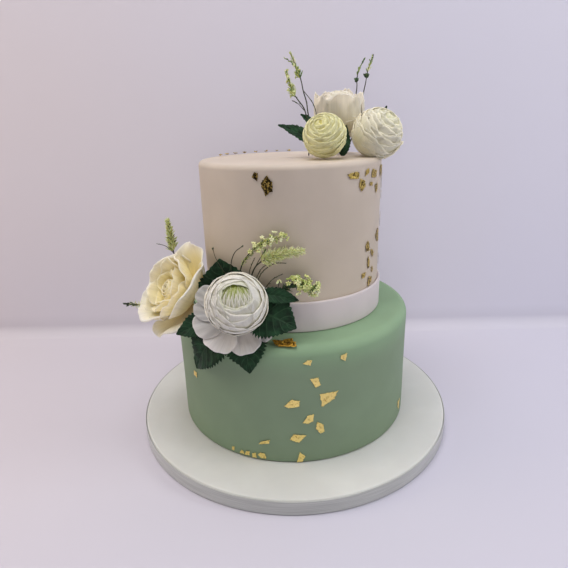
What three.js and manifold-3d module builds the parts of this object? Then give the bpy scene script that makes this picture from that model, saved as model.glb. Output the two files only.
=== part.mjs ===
// A two-tier wedding cake on its iced board, dressed with fabric flowers, leaves, sprigs and gold leaf.
// Millimetres, +Z up. The origin is the middle of the board's underside, and the front faces -Y.
import * as THREE from 'three';
import { mergeVertices } from 'three/addons/utils/BufferGeometryUtils.js';
import Module from 'manifold-3d';

const wasm = await Module();
wasm.setup();

// Driving dimensions of the board and the tiers
const GAP = 0.3;
const CLEARANCE = 0.25;
const BOARD_RADIUS = 141.4;
const BOARD_HEIGHT = 13;
const BOARD_EDGE = 1.5;
const RIBBON_THICKNESS = 0.5;
const RIBBON_LOW = 0.6;
const RIBBON_HIGH = 12.2;
const LOWER_RADIUS = 103;
const LOWER_TOP = 113;
const LOWER_EDGE = 8;
const UPPER_SHIFT = 1;
const UPPER_RADIUS = 75.3;
const UPPER_TOP = 238;
const UPPER_EDGE = 4;
const BAND_THICKNESS = 2;
const BAND_TOP = 137.5;
const BAND_EDGE = 1.2;
const ROUND_SIDES = 48;
const TIER_EDGE_STEPS = 3;
const BOARD_EDGE_STEPS = 1;

// Gold leaf lies this far proud of the icing, and its back is sunk into it
const FLAKE_PROUD = 0.35;
const FLAKE_SUNK = 0.9;

// Cloth petals, leaves and wire stems. A petal's foot has this share of its full spread, and its
// corners are rounded off by this share of its length. A leaf's edge swings in and out by its teeth
const PETAL_THICKNESS = 0.4;
const PETAL_FOOT = 0.62;
const PETAL_CORNER = 0.38;
const PETAL_CORNER_POWER = 2.6;
const LEAF_THICKNESS = 0.5;
const LEAF_FOOT = 0.04;
const LEAF_OVAL_POWER = 0.8;
const LEAF_TOOTH_IN = 0.9;
const LEAF_TOOTH_OUT = 1.06;
const LEAF_WAVES = 7;
const STEM_SIDES = 5;
const FLOWER_STEM_THICKNESS = 4;

const COLOURS = {
  white_icing: 0xe9e2dc,
  green_icing: 0x8aa58c,
  ribbon: 0xb9b7b2,
  white_cloth: 0xebe6e3,
  cream_cloth: 0xf3e6c4,
  yellow_cloth: 0xeee9b0,
  leaf: 0x1f3f33,
  stem: 0x55633f,
  buds: 0xb5c66a,
};

// A seeded draw, so that every run scatters the leaf and the buds alike
function seeded(seed) {
  let state = seed;
  return () => {
    state = (state * 1664525 + 1013904223) % 4294967296;
    return state / 4294967296;
  };
}

// Closed three.js geometry as a solid: shared points are merged, collapsed triangles are dropped,
// and a shape that came out facing inwards is turned round
function solidOf(geometry) {
  const plain = geometry.clone();
  plain.deleteAttribute('normal');
  plain.deleteAttribute('uv');
  const merged = mergeVertices(plain, 1e-4);
  const corners = [];
  for (let i = 0; i < merged.index.count; i += 3) {
    const [a, b, c] = [0, 1, 2].map((k) => merged.index.getX(i + k));
    if (a !== b && b !== c && c !== a) corners.push(a, b, c);
  }
  const build = (triangles) => new wasm.Manifold(new wasm.Mesh({
    numProp: 3,
    vertProperties: new Float32Array(merged.attributes.position.array),
    triVerts: new Uint32Array(triangles),
  }));
  const solid = build(corners);
  if (solid.volume() > 0) return solid;
  const flipped = [];
  for (let i = 0; i < corners.length; i += 3) {
    flipped.push(corners[i], corners[i + 2], corners[i + 1]);
  }
  return build(flipped);
}

function geometryOf(solid) {
  const mesh = solid.getMesh();
  const geometry = new THREE.BufferGeometry();
  geometry.setAttribute('position', new THREE.BufferAttribute(mesh.vertProperties, 3));
  geometry.setIndex(new THREE.BufferAttribute(mesh.triVerts, 1));
  geometry.computeVertexNormals();
  return geometry;
}

// Placing pieces: each new piece keeps its clearance from the ones already there, and any scrap
// that this leaves loose is dropped
const cake = new THREE.Group();
const placed = [];

function boxesMeet(one, other) {
  const a = one.boundingBox();
  const b = other.boundingBox();
  return [0, 1, 2].every((k) => a.min[k] < b.max[k] && b.min[k] < a.max[k]);
}

function largestOf(solid) {
  const bodies = solid.decompose();
  return bodies.reduce((best, body) => (body.volume() > best.volume() ? body : best));
}

// shape(grow) gives the piece's solid, swollen by grow all round
function addPiece(name, colour, roughness, shape) {
  let solid = shape(0);
  for (const other of placed) {
    if (boxesMeet(solid, other)) solid = solid.subtract(other);
  }
  placed.push(shape(CLEARANCE));
  const material = new THREE.MeshStandardMaterial({ color: colour, roughness, metalness: 0 });
  const mesh = new THREE.Mesh(geometryOf(largestOf(solid)), material);
  mesh.name = name;
  cake.add(mesh);
}

// Round pieces: a profile of radius and height turned about the upright axis

// A disc or tier with a rounded top edge
function roundTier(radius, low, high, edge, edgeSteps, shift, grow) {
  const profile = [new THREE.Vector2(0, low - grow), new THREE.Vector2(radius + grow, low - grow)];
  for (let i = 0; i <= edgeSteps; i += 1) {
    const turn = (Math.PI / 2) * (i / edgeSteps);
    profile.push(new THREE.Vector2(
      radius - edge + (edge + grow) * Math.cos(turn),
      high - edge + (edge + grow) * Math.sin(turn),
    ));
  }
  profile.push(new THREE.Vector2(0, high + grow));
  return turned(profile, shift);
}

// A thin ring with its outer top edge eased
function roundRing(inner, outer, low, high, edge, shift, grow) {
  const profile = [
    new THREE.Vector2(inner - grow, low - grow),
    new THREE.Vector2(outer + grow, low - grow),
    ...(edge > 0 ? [new THREE.Vector2(outer + grow, high - edge)] : []),
    new THREE.Vector2(outer - edge + grow, high + grow),
    new THREE.Vector2(inner - grow, high + grow),
    new THREE.Vector2(inner - grow, low - grow),
  ];
  return turned(profile, shift);
}

function turned(profile, shift) {
  const geometry = new THREE.LatheGeometry(profile, ROUND_SIDES);
  geometry.rotateX(Math.PI / 2);
  geometry.translate(shift, 0, 0);
  return solidOf(geometry);
}

// Gold leaf: a torn scrap with a few uneven corners, cut from a sheet and laid on the icing
function tornOutline(width, height, turn, draw) {
  const corners = 4 + Math.floor(draw() * 3);
  const outline = new THREE.Shape();
  for (let i = 0; i < corners; i += 1) {
    const angle = ((i + 0.6 * draw()) / corners) * Math.PI * 2;
    const reach = 0.5 * (0.8 + 0.3 * draw());
    const x = width * reach * Math.cos(angle);
    const y = height * reach * Math.sin(angle);
    const px = x * Math.cos(turn) - y * Math.sin(turn);
    const py = x * Math.sin(turn) + y * Math.cos(turn);
    if (i === 0) outline.moveTo(px, py);
    else outline.lineTo(px, py);
  }
  outline.closePath();
  return outline;
}

function scrap(width, height, turn, draw) {
  const geometry = new THREE.ExtrudeGeometry(tornOutline(width, height, turn, draw), {
    depth: FLAKE_PROUD + FLAKE_SUNK,
    bevelEnabled: false,
  });
  geometry.translate(0, 0, -FLAKE_SUNK);
  return geometry;
}

// A scrap on the wall of a tier, wrapped to its radius at an azimuth from the front towards +X
function scrapOnWall(radius, shift, azimuth, height, size, turn, draw) {
  const geometry = scrap(size[0], size[1], turn, draw);
  const at = geometry.attributes.position;
  for (let i = 0; i < at.count; i += 1) {
    const angle = THREE.MathUtils.degToRad(azimuth) + at.getX(i) / radius;
    const reach = radius + at.getZ(i);
    at.setXYZ(i, shift + reach * Math.sin(angle), -reach * Math.cos(angle), height + at.getY(i));
  }
  return solidOf(geometry);
}

// A scrap lying on a tier's top face or on its rounded edge, square to the direction it faces
function scrapOnTop(x, y, z, lean, azimuth, size, turn, draw) {
  const geometry = scrap(size[0], size[1], turn, draw);
  geometry.rotateX(THREE.MathUtils.degToRad(lean));
  geometry.rotateZ(THREE.MathUtils.degToRad(azimuth));
  geometry.translate(x, y, z);
  return solidOf(geometry);
}

// Flowers: each is built in its own frame, with its middle line along +Z from the calyx outwards,
// +X to the right and +Y up as seen by someone who looks into it
function flowerFrame(base, axis, up = [0, 0, 1]) {
  const out = new THREE.Vector3(...axis).normalize();
  const right = new THREE.Vector3().crossVectors(new THREE.Vector3(...up), out).normalize();
  const over = new THREE.Vector3().crossVectors(out, right);
  return new THREE.Matrix4().makeBasis(right, over, out).setPosition(...base);
}

const HEAD = { around: 17, down: 10, stretch: 1, relief: 0.07 };

// The tight head: a ball whose surface climbs in overlapping coils, as rolled petals do
function tightHead(frame, head, grow) {
  const geometry = new THREE.SphereGeometry(1, head.around, head.down);
  geometry.rotateX(Math.PI / 2);
  const at = geometry.attributes.position;
  const point = new THREE.Vector3();
  for (let i = 0; i < at.count; i += 1) {
    point.fromBufferAttribute(at, i).normalize();
    const polar = Math.acos(THREE.MathUtils.clamp(point.z, -1, 1));
    const round = Math.atan2(point.y, point.x) / (Math.PI * 2);
    const coil = head.coils * (polar / Math.PI) + round;
    const atPole = polar < 0.01 || polar > Math.PI - 0.01;
    const step = atPole ? 0.5 : coil - Math.floor(coil);
    const reach = head.radius * (1 - head.relief * step) + grow;
    point.multiplyScalar(reach);
    point.z = point.z * head.stretch + head.middle;
    point.applyMatrix4(frame);
    at.setXYZ(i, point.x, point.y, point.z);
  }
  return solidOf(geometry);
}

// A thin sheet: the front and back are one plane grid each, split into triangles alike, and a rim
// joins them. place(across, along, side) gives the point, across from -1 to 1 and along from 0 to 1
function thinSheet(columns, rows, place) {
  const grid = new THREE.PlaneGeometry(2, 1, columns, rows);
  const count = grid.attributes.position.count;
  const points = new Float32Array(count * 6);
  for (let i = 0; i < count; i += 1) {
    const across = grid.attributes.position.getX(i);
    const along = grid.attributes.position.getY(i) + 0.5;
    place(across, along, 1).toArray(points, i * 3);
    place(across, along, -1).toArray(points, (count + i) * 3);
  }
  const front = Array.from(grid.index.array);
  const index = [...front];
  for (let i = 0; i < front.length; i += 3) {
    index.push(front[i] + count, front[i + 2] + count, front[i + 1] + count);
  }
  const rim = [];
  const stride = columns + 1;
  for (let x = 0; x < columns; x += 1) rim.push(rows * stride + x);
  for (let y = rows; y > 0; y -= 1) rim.push(y * stride + columns);
  for (let x = columns; x > 0; x -= 1) rim.push(x);
  for (let y = 0; y < rows; y += 1) rim.push(y * stride);
  rim.forEach((from, i) => {
    const to = rim[(i + 1) % rim.length];
    index.push(to, from, from + count, to, from + count, to + count);
  });
  const geometry = new THREE.BufferGeometry();
  geometry.setAttribute('position', new THREE.BufferAttribute(points, 3));
  geometry.setIndex(index);
  return solidOf(geometry);
}

// A petal: a strip of a turned profile. Its offset from the profile grows round the flower, so a
// petal's left edge lies over its neighbour's right edge with the same small space all the way
function petal(frame, layer, one, grow) {
  const profile = new THREE.SplineCurve(layer.profile.map(([r, z]) => new THREE.Vector2(r, z)));
  const middle = THREE.MathUtils.degToRad(one.angle);
  const spread = THREE.MathUtils.degToRad(one.spread);
  const widest = layer.profile[layer.profile.length - 1][0];
  const sideGrow = 1 + grow / (widest * spread);
  const long = profile.getLength() * one.reach;
  return thinSheet(layer.columns, layer.rows, (across, along, side) => {
    const tip = 1 - PETAL_CORNER * Math.abs(across) ** PETAL_CORNER_POWER;
    const share = THREE.MathUtils.clamp(
      ((along * (1 + (2 * grow) / long) - grow / long) * tip * one.reach),
      0,
      1,
    );
    const at = profile.getPoint(share);
    const run = profile.getTangent(share);
    const opened = PETAL_FOOT + (1 - PETAL_FOOT) * Math.sin((Math.PI / 2) * along);
    const turn = spread * across * sideGrow * opened;
    const round = middle + turn;
    const ruffle = layer.ruffle * Math.sin(layer.waves * round) * share * share;
    const off = layer.offset + layer.climb * turn + ruffle + side * (PETAL_THICKNESS / 2 + grow);
    const reach = at.x - run.y * off;
    const point = new THREE.Vector3(reach * Math.cos(round), reach * Math.sin(round), at.y + run.x * off);
    return point.applyMatrix4(frame);
  });
}

// A leaf: a thin sheet along a curved midrib, folded up along it, waved and toothed at its edges
function leaf(shape, grow) {
  const midrib = new THREE.QuadraticBezierCurve3(...shape.midrib.map((p) => new THREE.Vector3(...p)));
  const facing = new THREE.Vector3(...shape.facing).normalize();
  const rows = shape.teeth * 2;
  return thinSheet(2, rows, (across, along, side) => {
    const at = midrib.getPoint(along);
    const run = midrib.getTangent(along);
    const sideways = new THREE.Vector3().crossVectors(run, facing).normalize();
    const normal = new THREE.Vector3().crossVectors(sideways, run).normalize();
    const oval = Math.sin(Math.PI * (LEAF_FOOT + (1 - LEAF_FOOT) * along) ** LEAF_OVAL_POWER);
    const tooth = Math.round(along * rows) % 2 === 0 ? LEAF_TOOTH_IN : LEAF_TOOTH_OUT;
    const half = LEAF_THICKNESS + grow + (shape.width / 2) * oval * tooth;
    const wave = shape.wave * across * Math.sin(LEAF_WAVES * along);
    const lift = shape.fold * Math.abs(across) * half + wave;
    at.addScaledVector(sideways, across * half);
    at.addScaledVector(normal, lift + side * (LEAF_THICKNESS / 2 + grow));
    if (grow > 0) at.addScaledVector(run, grow * (2 * along - 1));
    return at;
  });
}

// A tube along a smooth curve through points set by hand
function stem(points, thickness, grow) {
  const curve = new THREE.CatmullRomCurve3(points.map((p) => new THREE.Vector3(...p)));
  const outline = new THREE.Shape();
  const radius = thickness / 2 + grow;
  for (let i = 0; i < STEM_SIDES; i += 1) {
    const angle = (i / STEM_SIDES) * Math.PI * 2;
    if (i === 0) outline.moveTo(radius, 0);
    else outline.lineTo(radius * Math.cos(angle), radius * Math.sin(angle));
  }
  outline.closePath();
  const steps = points.length;
  return solidOf(new THREE.ExtrudeGeometry(outline, { steps, extrudePath: curve, bevelEnabled: false }));
}

// Small pointed leaves or buds round the last part of a stem, each an octahedron drawn out
function buds(points, cluster, grow) {
  const curve = new THREE.CatmullRomCurve3(points.map((p) => new THREE.Vector3(...p)));
  const draw = seeded(cluster.seed);
  const shapes = [];
  for (let i = 0; i < cluster.count; i += 1) {
    const along = cluster.from + (0.99 - cluster.from) * (i / (cluster.count - 1));
    const run = curve.getTangentAt(along);
    const outward = new THREE.Vector3(draw() - 0.5, draw() - 0.5, draw() - 0.5).normalize();
    const way = outward.addScaledVector(run, 0.7 + 0.5 * draw()).normalize();
    const geometry = new THREE.OctahedronGeometry(1);
    const long = cluster.long * (0.8 + 0.4 * draw());
    geometry.scale(cluster.wide / 2 + grow, long / 2 + grow, cluster.wide / 2 + grow);
    geometry.translate(0, long * 0.42, 0);
    geometry.applyQuaternion(new THREE.Quaternion().setFromUnitVectors(new THREE.Vector3(0, 1, 0), way));
    geometry.translate(...curve.getPointAt(along).toArray());
    shapes.push(solidOf(geometry));
  }
  return shapes;
}

function joined(solids) {
  return solids.reduce((sum, solid) => sum.add(solid));
}

// A sprig: its main stem, any side stems, and the buds on each
function sprig(shape, grow) {
  const parts = shape.stems.flatMap((one) => [
    stem(one.points, one.thickness ?? shape.thickness, grow),
    ...(one.cluster ? buds(one.points, one.cluster, grow) : []),
  ]);
  return joined(parts);
}

// The board is a thick card drum under rolled icing, with a satin ribbon glued round its edge
addPiece('board', COLOURS.white_icing, 0.6, (grow) => (
  roundTier(BOARD_RADIUS, 0, BOARD_HEIGHT, BOARD_EDGE, BOARD_EDGE_STEPS, 0, grow)
));
addPiece('board_ribbon', COLOURS.ribbon, 0.35, (grow) => {
  const inner = BOARD_RADIUS + GAP;
  return roundRing(inner, inner + RIBBON_THICKNESS, RIBBON_LOW, RIBBON_HIGH, 0, 0, grow);
});

// The lower tier, with torn gold leaf falling from the flowers to the foot.
// Each row is azimuth in degrees, height, width, length and turn of one scrap
const LOWER_SCRAPS = [
  [21, 102, 4.5, 4.5, 0.3],
  [6, 101, 4.5, 4, 0],
  [9, 85.5, 6, 6, 0.7],
  [14, 70.5, 11, 9, 0.4],
  [-1, 66.5, 8, 5, 0.3],
  [6, 53, 4.5, 8.5, -0.6],
  [11, 45, 4.5, 7, 0.3],
  [1.5, 36.5, 8, 6.5, 0],
  [-13, 31, 6.5, 2.5, 0.4],
  [-14.5, 18.5, 5, 5, 0.2],
  [2, 18.3, 5, 8, 0],
  [-18, 17, 3.5, 3.5, 0.4],
  [-21.5, 17.5, 4, 3, 0.2],
  [-24.5, 17.5, 3.5, 2.5, 0],
  [-29, 18, 3.5, 3, 0.5],
  [-51, 72, 4, 5, 0.2],
  [63, 28, 5, 10, 0.2],
];
const LOWER_BACK_SCRAPS = 5;

addPiece('lower_tier', COLOURS.green_icing, 0.75, (grow) => {
  const low = BOARD_HEIGHT + GAP;
  const tier = roundTier(LOWER_RADIUS, low, LOWER_TOP, LOWER_EDGE, TIER_EDGE_STEPS, 0, grow);
  if (grow > 0) return tier;
  const draw = seeded(11);
  const scraps = LOWER_SCRAPS.map(([azimuth, height, width, length, turn]) => (
    scrapOnWall(LOWER_RADIUS, 0, azimuth, height, [width, length], turn, draw)
  ));
  for (let i = 0; i < LOWER_BACK_SCRAPS; i += 1) {
    const share = i / (LOWER_BACK_SCRAPS - 1);
    const azimuth = 100 + 95 * share + 8 * draw();
    const height = 90 - 66 * share + 14 * draw() - 7;
    const size = 4 + 5 * draw();
    scraps.push(scrapOnWall(LOWER_RADIUS, 0, azimuth, height, [size, size * 0.8], draw(), draw));
  }
  const rim = new THREE.Vector3(-5.5, -96.7, LOWER_TOP - 0.2);
  scraps.push(scrapOnTop(rim.x, rim.y, rim.z, 13, -3, [13, 6], 0, draw));
  return tier.add(joined(scraps));
});

// The upper tier, with a spray of smaller scraps down its right side and specks on its top
const UPPER_SCRAPS = [
  [-19, 230.5, 4, 6, 0],
  [-12.5, 224, 9, 12, 0.2],
  [37.5, 228, 10, 4.5, 0],
  [49, 229.5, 5, 3.5, 0.5],
  [57.5, 227.5, 7, 6, 0.3],
  [72, 228, 9, 8, 0.2],
  [44, 221, 5, 7, 0.3],
  [53.5, 220, 4, 4, 0],
  [61, 216.5, 6, 6, 0.6],
  [80, 218.5, 7, 9, 0],
  [79, 207, 5, 6, 0.3],
  [79, 186, 6, 9, 0.1],
  [67.5, 176.5, 8, 9, 0.4],
  [51.5, 171, 5.5, 6.5, 0.2],
  [58, 165, 3.5, 5, 0.5],
  [53.5, 158, 3, 7, 0.1],
  [79, 152, 5, 8, 0],
  [47.5, 149.5, 5, 4, 0.4],
  [59, 151, 3, 4, 0.3],
  [55.5, 142, 6, 6, 0.3],
];
const UPPER_SIDE_SCRAPS = 5;
const RIM_SPECKS = 7;

addPiece('upper_tier', COLOURS.white_icing, 0.7, (grow) => {
  const low = LOWER_TOP + GAP;
  const tier = roundTier(UPPER_RADIUS, low, UPPER_TOP, UPPER_EDGE, TIER_EDGE_STEPS, UPPER_SHIFT, grow);
  if (grow > 0) return tier;
  const draw = seeded(23);
  const scraps = UPPER_SCRAPS.map(([azimuth, height, width, length, turn]) => (
    scrapOnWall(UPPER_RADIUS, UPPER_SHIFT, azimuth, height, [width, length], turn, draw)
  ));
  for (let i = 0; i < UPPER_SIDE_SCRAPS; i += 1) {
    const share = (i + 0.5) / UPPER_SIDE_SCRAPS;
    const azimuth = 90 + 28 * draw() - 8 * share;
    const height = 229 - 82 * share;
    const size = 3 + 4 * draw();
    scraps.push(scrapOnWall(UPPER_RADIUS, UPPER_SHIFT, azimuth, height, [size, size], draw(), draw));
  }
  for (let i = 0; i < RIM_SPECKS; i += 1) {
    const azimuth = THREE.MathUtils.degToRad(248 - 11 * i - 4 * draw());
    const reach = UPPER_RADIUS - UPPER_EDGE - 4 - 3 * draw();
    const size = 2.2 + 1.6 * draw();
    const x = UPPER_SHIFT + reach * Math.sin(azimuth);
    scraps.push(scrapOnTop(x, -reach * Math.cos(azimuth), UPPER_TOP, 0, 0, [size, size], 0, draw));
  }
  return tier.add(joined(scraps));
});

// A second strip of icing, wrapped round the foot of the upper tier
addPiece('upper_band', COLOURS.white_icing, 0.7, (grow) => {
  const inner = UPPER_RADIUS + GAP;
  const outer = inner + BAND_THICKNESS;
  return roundRing(inner, outer, LOWER_TOP + GAP, BAND_TOP, BAND_EDGE, UPPER_SHIFT, grow);
});

// Front left: a white ranunculus with a tight head over a collar of open petals
const FRONT_WHITE = flowerFrame([-40.6, -84, 135], [0.1, -0.8, 0.57]);
const FRONT_WHITE_HEAD = { ...HEAD, radius: 21.8, middle: 23.3, coils: 4 };
const COLLAR = {
  profile: [[4.5, 0], [13, 0], [24, 1.6], [34, 5]],
  offset: 0,
  climb: 2.2,
  ruffle: 0.2,
  waves: 9,
  columns: 4,
  rows: 4,
};
const COLLAR_PETALS = [
  { angle: 20, spread: 30, reach: 0.74 },
  { angle: 318, spread: 34, reach: 0.92 },
  { angle: 281, spread: 32, reach: 0.97 },
  { angle: 237, spread: 32, reach: 1 },
  { angle: 203, spread: 27, reach: 0.98 },
  { angle: 176, spread: 23, reach: 0.88 },
  { angle: 150, spread: 23, reach: 0.92 },
  { angle: 122, spread: 25, reach: 0.8 },
];
addPiece('front_white_head', COLOURS.white_cloth, 0.8, (grow) => (
  tightHead(FRONT_WHITE, FRONT_WHITE_HEAD, grow)
));
COLLAR_PETALS.forEach((one, i) => {
  addPiece(`front_white_petal_${i + 1}`, COLOURS.white_cloth, 0.8, (grow) => (
    petal(FRONT_WHITE, COLLAR, one, grow)
  ));
});

// Left: an open cream rose that overhangs the edge, with a bud heart, two rounds of petals and one
// petal that droops below them
const ROSE = flowerFrame([-86, -45.5, 135], [-0.58, -0.38, 0.72]);
const ROSE_HEART = {
  around: 14, down: 9, radius: 8.5, middle: 13.6, stretch: 1.2, coils: 3, relief: 0.14,
};
const ROSE_INNER = {
  profile: [[3, 1], [11, 4], [16.5, 13], [19.5, 25]],
  offset: 0,
  climb: 1,
  ruffle: 0.2,
  waves: 5,
  columns: 5,
  rows: 4,
};
const ROSE_OUTER = {
  profile: [[3.5, -2.4], [14, -1.2], [25, 5.5], [32, 15.5], [37, 21]],
  offset: 0,
  climb: 1.1,
  ruffle: 0.3,
  waves: 6,
  columns: 6,
  rows: 4,
};
const ROSE_DROOP = { ...ROSE_OUTER, profile: [[3.5, -5.4], [15, -5.6], [28, -1.6], [36, 3.5], [41, 5]] };
const ROSE_INNER_PETALS = 4;
const ROSE_OUTER_PETALS = [
  { angle: 10, spread: 58, reach: 1, layer: ROSE_OUTER },
  { angle: 95, spread: 58, reach: 1, layer: ROSE_OUTER },
  { angle: 175, spread: 58, reach: 0.94, layer: ROSE_OUTER },
  { angle: 250, spread: 56, reach: 0.92, layer: ROSE_OUTER },
  { angle: 306, spread: 50, reach: 1, layer: ROSE_DROOP },
];
addPiece('rose_heart', COLOURS.cream_cloth, 0.8, (grow) => tightHead(ROSE, ROSE_HEART, grow));
for (let i = 0; i < ROSE_INNER_PETALS; i += 1) {
  const one = { angle: 30 + (360 / ROSE_INNER_PETALS) * i, spread: 62, reach: 1 };
  addPiece(`rose_inner_petal_${i + 1}`, COLOURS.cream_cloth, 0.8, (grow) => (
    petal(ROSE, ROSE_INNER, one, grow)
  ));
}
ROSE_OUTER_PETALS.forEach((one, i) => {
  addPiece(`rose_outer_petal_${i + 1}`, COLOURS.cream_cloth, 0.8, (grow) => (
    petal(ROSE, one.layer, one, grow)
  ));
});

// On top: three ranunculus heads with a few loose petals wrapped round each
const TOP_FLOWERS = [
  {
    name: 'top_yellow',
    colour: COLOURS.yellow_cloth,
    frame: flowerFrame([32.1, -22.8, 245.2], [-0.28, -0.73, 0.62]),
    head: { ...HEAD, radius: 16.4, middle: 17, coils: 4 },
    wrap: { radius: 17.4, open: 0.5, shift: 17 },
    petals: [{ angle: 330, spread: 40, reach: 0.95 }, { angle: 265, spread: 40, reach: 0.85 },
      { angle: 200, spread: 40, reach: 0.8 }],
  },
  {
    name: 'top_white',
    colour: COLOURS.white_cloth,
    frame: flowerFrame([60.5, -8, 241], [0.46, -0.5, 0.7]),
    head: { ...HEAD, radius: 19.8, middle: 20.5, coils: 3.5 },
    wrap: { radius: 20.9, open: 0.55, shift: 20.5 },
    petals: [{ angle: 30, spread: 44, reach: 0.85 }, { angle: 110, spread: 44, reach: 0.95 },
      { angle: 190, spread: 48, reach: 1 }, { angle: 295, spread: 40, reach: 0.9 }],
  },
  {
    name: 'top_rear',
    colour: COLOURS.white_cloth,
    frame: flowerFrame([44.5, 19, 248], [-0.05, -0.2, 0.98], [0, 1, 0]),
    head: { ...HEAD, radius: 20.3, middle: 22.5, coils: 3.5 },
    wrap: { radius: 21.8, open: 0.6, shift: 22.5 },
    petals: [{ angle: 15, spread: 50, reach: 0.95 }, { angle: 105, spread: 50, reach: 0.9 },
      { angle: 190, spread: 50, reach: 1 }, { angle: 275, spread: 50, reach: 0.95 }],
  },
];
const WRAP_STEPS = 5;
const WRAP_FOOT = 0.25;
const WRAP_PAST = 0.2;

// The wrapping petals follow the ball from near its base to past its middle
function wrapLayer(wrap) {
  const profile = [];
  for (let i = 0; i <= WRAP_STEPS; i += 1) {
    const polar = WRAP_FOOT + (Math.PI * wrap.open + WRAP_PAST) * (i / WRAP_STEPS);
    profile.push([wrap.radius * Math.sin(polar), wrap.shift - wrap.radius * Math.cos(polar)]);
  }
  return { profile, offset: -1.2, climb: 1.2, ruffle: 0.1, waves: 6, columns: 5, rows: 4 };
}

TOP_FLOWERS.forEach((flower) => {
  addPiece(`${flower.name}_head`, flower.colour, 0.8, (grow) => (
    tightHead(flower.frame, flower.head, grow)
  ));
});
TOP_FLOWERS.forEach((flower) => {
  flower.petals.forEach((one, i) => {
    addPiece(`${flower.name}_petal_${i + 1}`, flower.colour, 0.8, (grow) => (
      petal(flower.frame, wrapLayer(flower.wrap), one, grow)
    ));
  });
});

// The short wired stems that carry the front flowers and the rear one on top
const FLOWER_STEMS = {
  front_white_stem: [[-40, -83, 114.5], [-40.3, -82.6, 124], [-40.5, -83.2, 134]],
  rose_stem: [[-80, -42, 114.5], [-81.5, -43, 121], [-83.5, -44, 128]],
  top_rear_stem: [[44, 20, 239], [44.3, 19.6, 243], [44.5, 19.2, 247]],
};
Object.entries(FLOWER_STEMS).forEach(([name, points]) => {
  addPiece(name, COLOURS.stem, 0.7, (grow) => stem(points, FLOWER_STEM_THICKNESS, grow));
});

// Sprigs of tiny leaves and buds on thin wire
const SPRIGS = {
  front_sprig_1: {
    thickness: 1.4,
    stems: [
      {
        points: [[-36, -78, 114], [-37.5, -73.5, 132], [-38, -73.5, 150], [-36.5, -76, 166],
          [-29, -79, 178], [-18, -82, 186], [-3, -83, 191]],
        cluster: { seed: 3, from: 0.72, count: 8, long: 7, wide: 2.2 },
      },
      {
        points: [[-37.7, -73.3, 138], [-43, -72, 152], [-44, -74, 167], [-40.5, -77, 177.5],
          [-34, -79, 183]],
        thickness: 1.1,
      },
    ],
  },
  front_sprig_2: {
    thickness: 1.4,
    stems: [
      {
        points: [[-31, -79, 114], [-31, -74.5, 135], [-30.5, -75, 152], [-27, -78, 165],
          [-20, -81, 172.5], [-9, -83, 177], [8, -84, 179.5]],
        cluster: { seed: 5, from: 0.72, count: 8, long: 7.5, wide: 2.2 },
      },
      {
        points: [[-31, -74.5, 136], [-26, -77, 152], [-21, -81, 163.5], [-12, -83, 170.5],
          [-3.5, -84, 171]],
        thickness: 1.1,
      },
    ],
  },
  front_sprig_3: {
    thickness: 1.3,
    stems: [
      {
        points: [[-20, -84, 114], [-17, -82.5, 128], [-12.5, -83.5, 142], [-8, -85.5, 150.5],
          [0, -87, 154.5], [8, -88, 155.5], [15, -88, 153]],
        cluster: { seed: 9, from: 0.78, count: 9, long: 11, wide: 3.6 },
      },
    ],
  },
  left_sprig: {
    thickness: 1.3,
    stems: [
      {
        points: [[-84, -20, 114], [-93, -13, 130], [-100, -10, 148], [-102, -10, 163],
          [-103, -10, 176], [-104, -10, 189]],
        cluster: { seed: 12, from: 0.6, count: 8, long: 5.5, wide: 3 },
      },
      { points: [[-101.5, -10, 160], [-108, -11, 167], [-115, -12, 169.5]], thickness: 0.9 },
    ],
  },
  left_bud: {
    thickness: 1.3,
    stems: [
      {
        points: [[-86, -33, 114.5], [-99, -37, 120], [-113, -43, 124.5], [-125, -47.5, 127.5],
          [-136, -51, 130]],
        cluster: { seed: 14, from: 0.84, count: 5, long: 5, wide: 2 },
      },
    ],
  },
  top_sprig_1: {
    thickness: 1.4,
    stems: [
      {
        points: [[22, 4, 238.8], [20, 0, 255], [16.5, -4, 272], [15.4, -5, 280], [13, -5, 288],
          [11.4, -5, 295.5], [8.2, -5, 304.5], [3.5, -5, 315.5]],
        cluster: { seed: 16, from: 0.78, count: 6, long: 6.5, wide: 2.4 },
      },
      { points: [[26, 3, 238.8], [24.5, 0, 262], [21.5, -4, 277], [13, -5, 288.5]], thickness: 1.1 },
      { points: [[9, -5, 303], [4.5, -5, 308.5], [-1, -5, 312]], thickness: 0.9 },
    ],
  },
  top_sprig_2: {
    thickness: 1.3,
    stems: [
      {
        points: [[17, -1, 238.8], [17, -5, 255], [14.2, -8, 273], [8, -8, 282.5], [4.4, -8, 288],
          [-0.3, -8, 302.5]],
        cluster: { seed: 18, from: 0.68, count: 7, long: 6.5, wide: 2.4 },
      },
    ],
  },
  top_sprig_3: {
    thickness: 1.3,
    stems: [
      {
        points: [[48, 46, 238.8], [57, 44.5, 265], [61.4, 43, 289.5], [61.6, 43, 298.5],
          [63, 43, 306.4], [67.7, 43, 315]],
        cluster: { seed: 20, from: 0.74, count: 5, long: 4.5, wide: 2.4 },
      },
    ],
  },
  top_sprig_4: {
    thickness: 1.3,
    stems: [
      {
        points: [[53, 41, 238.8], [62.5, 41, 262], [67.2, 41, 287.6], [69, 41, 296], [70.2, 41, 304],
          [74.6, 41, 317.5]],
        cluster: { seed: 22, from: 0.7, count: 5, long: 4.5, wide: 2.4 },
      },
    ],
  },
};
Object.entries(SPRIGS).forEach(([name, shape]) => {
  addPiece(name, COLOURS.buds, 0.7, (grow) => sprig(shape, grow));
});

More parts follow.
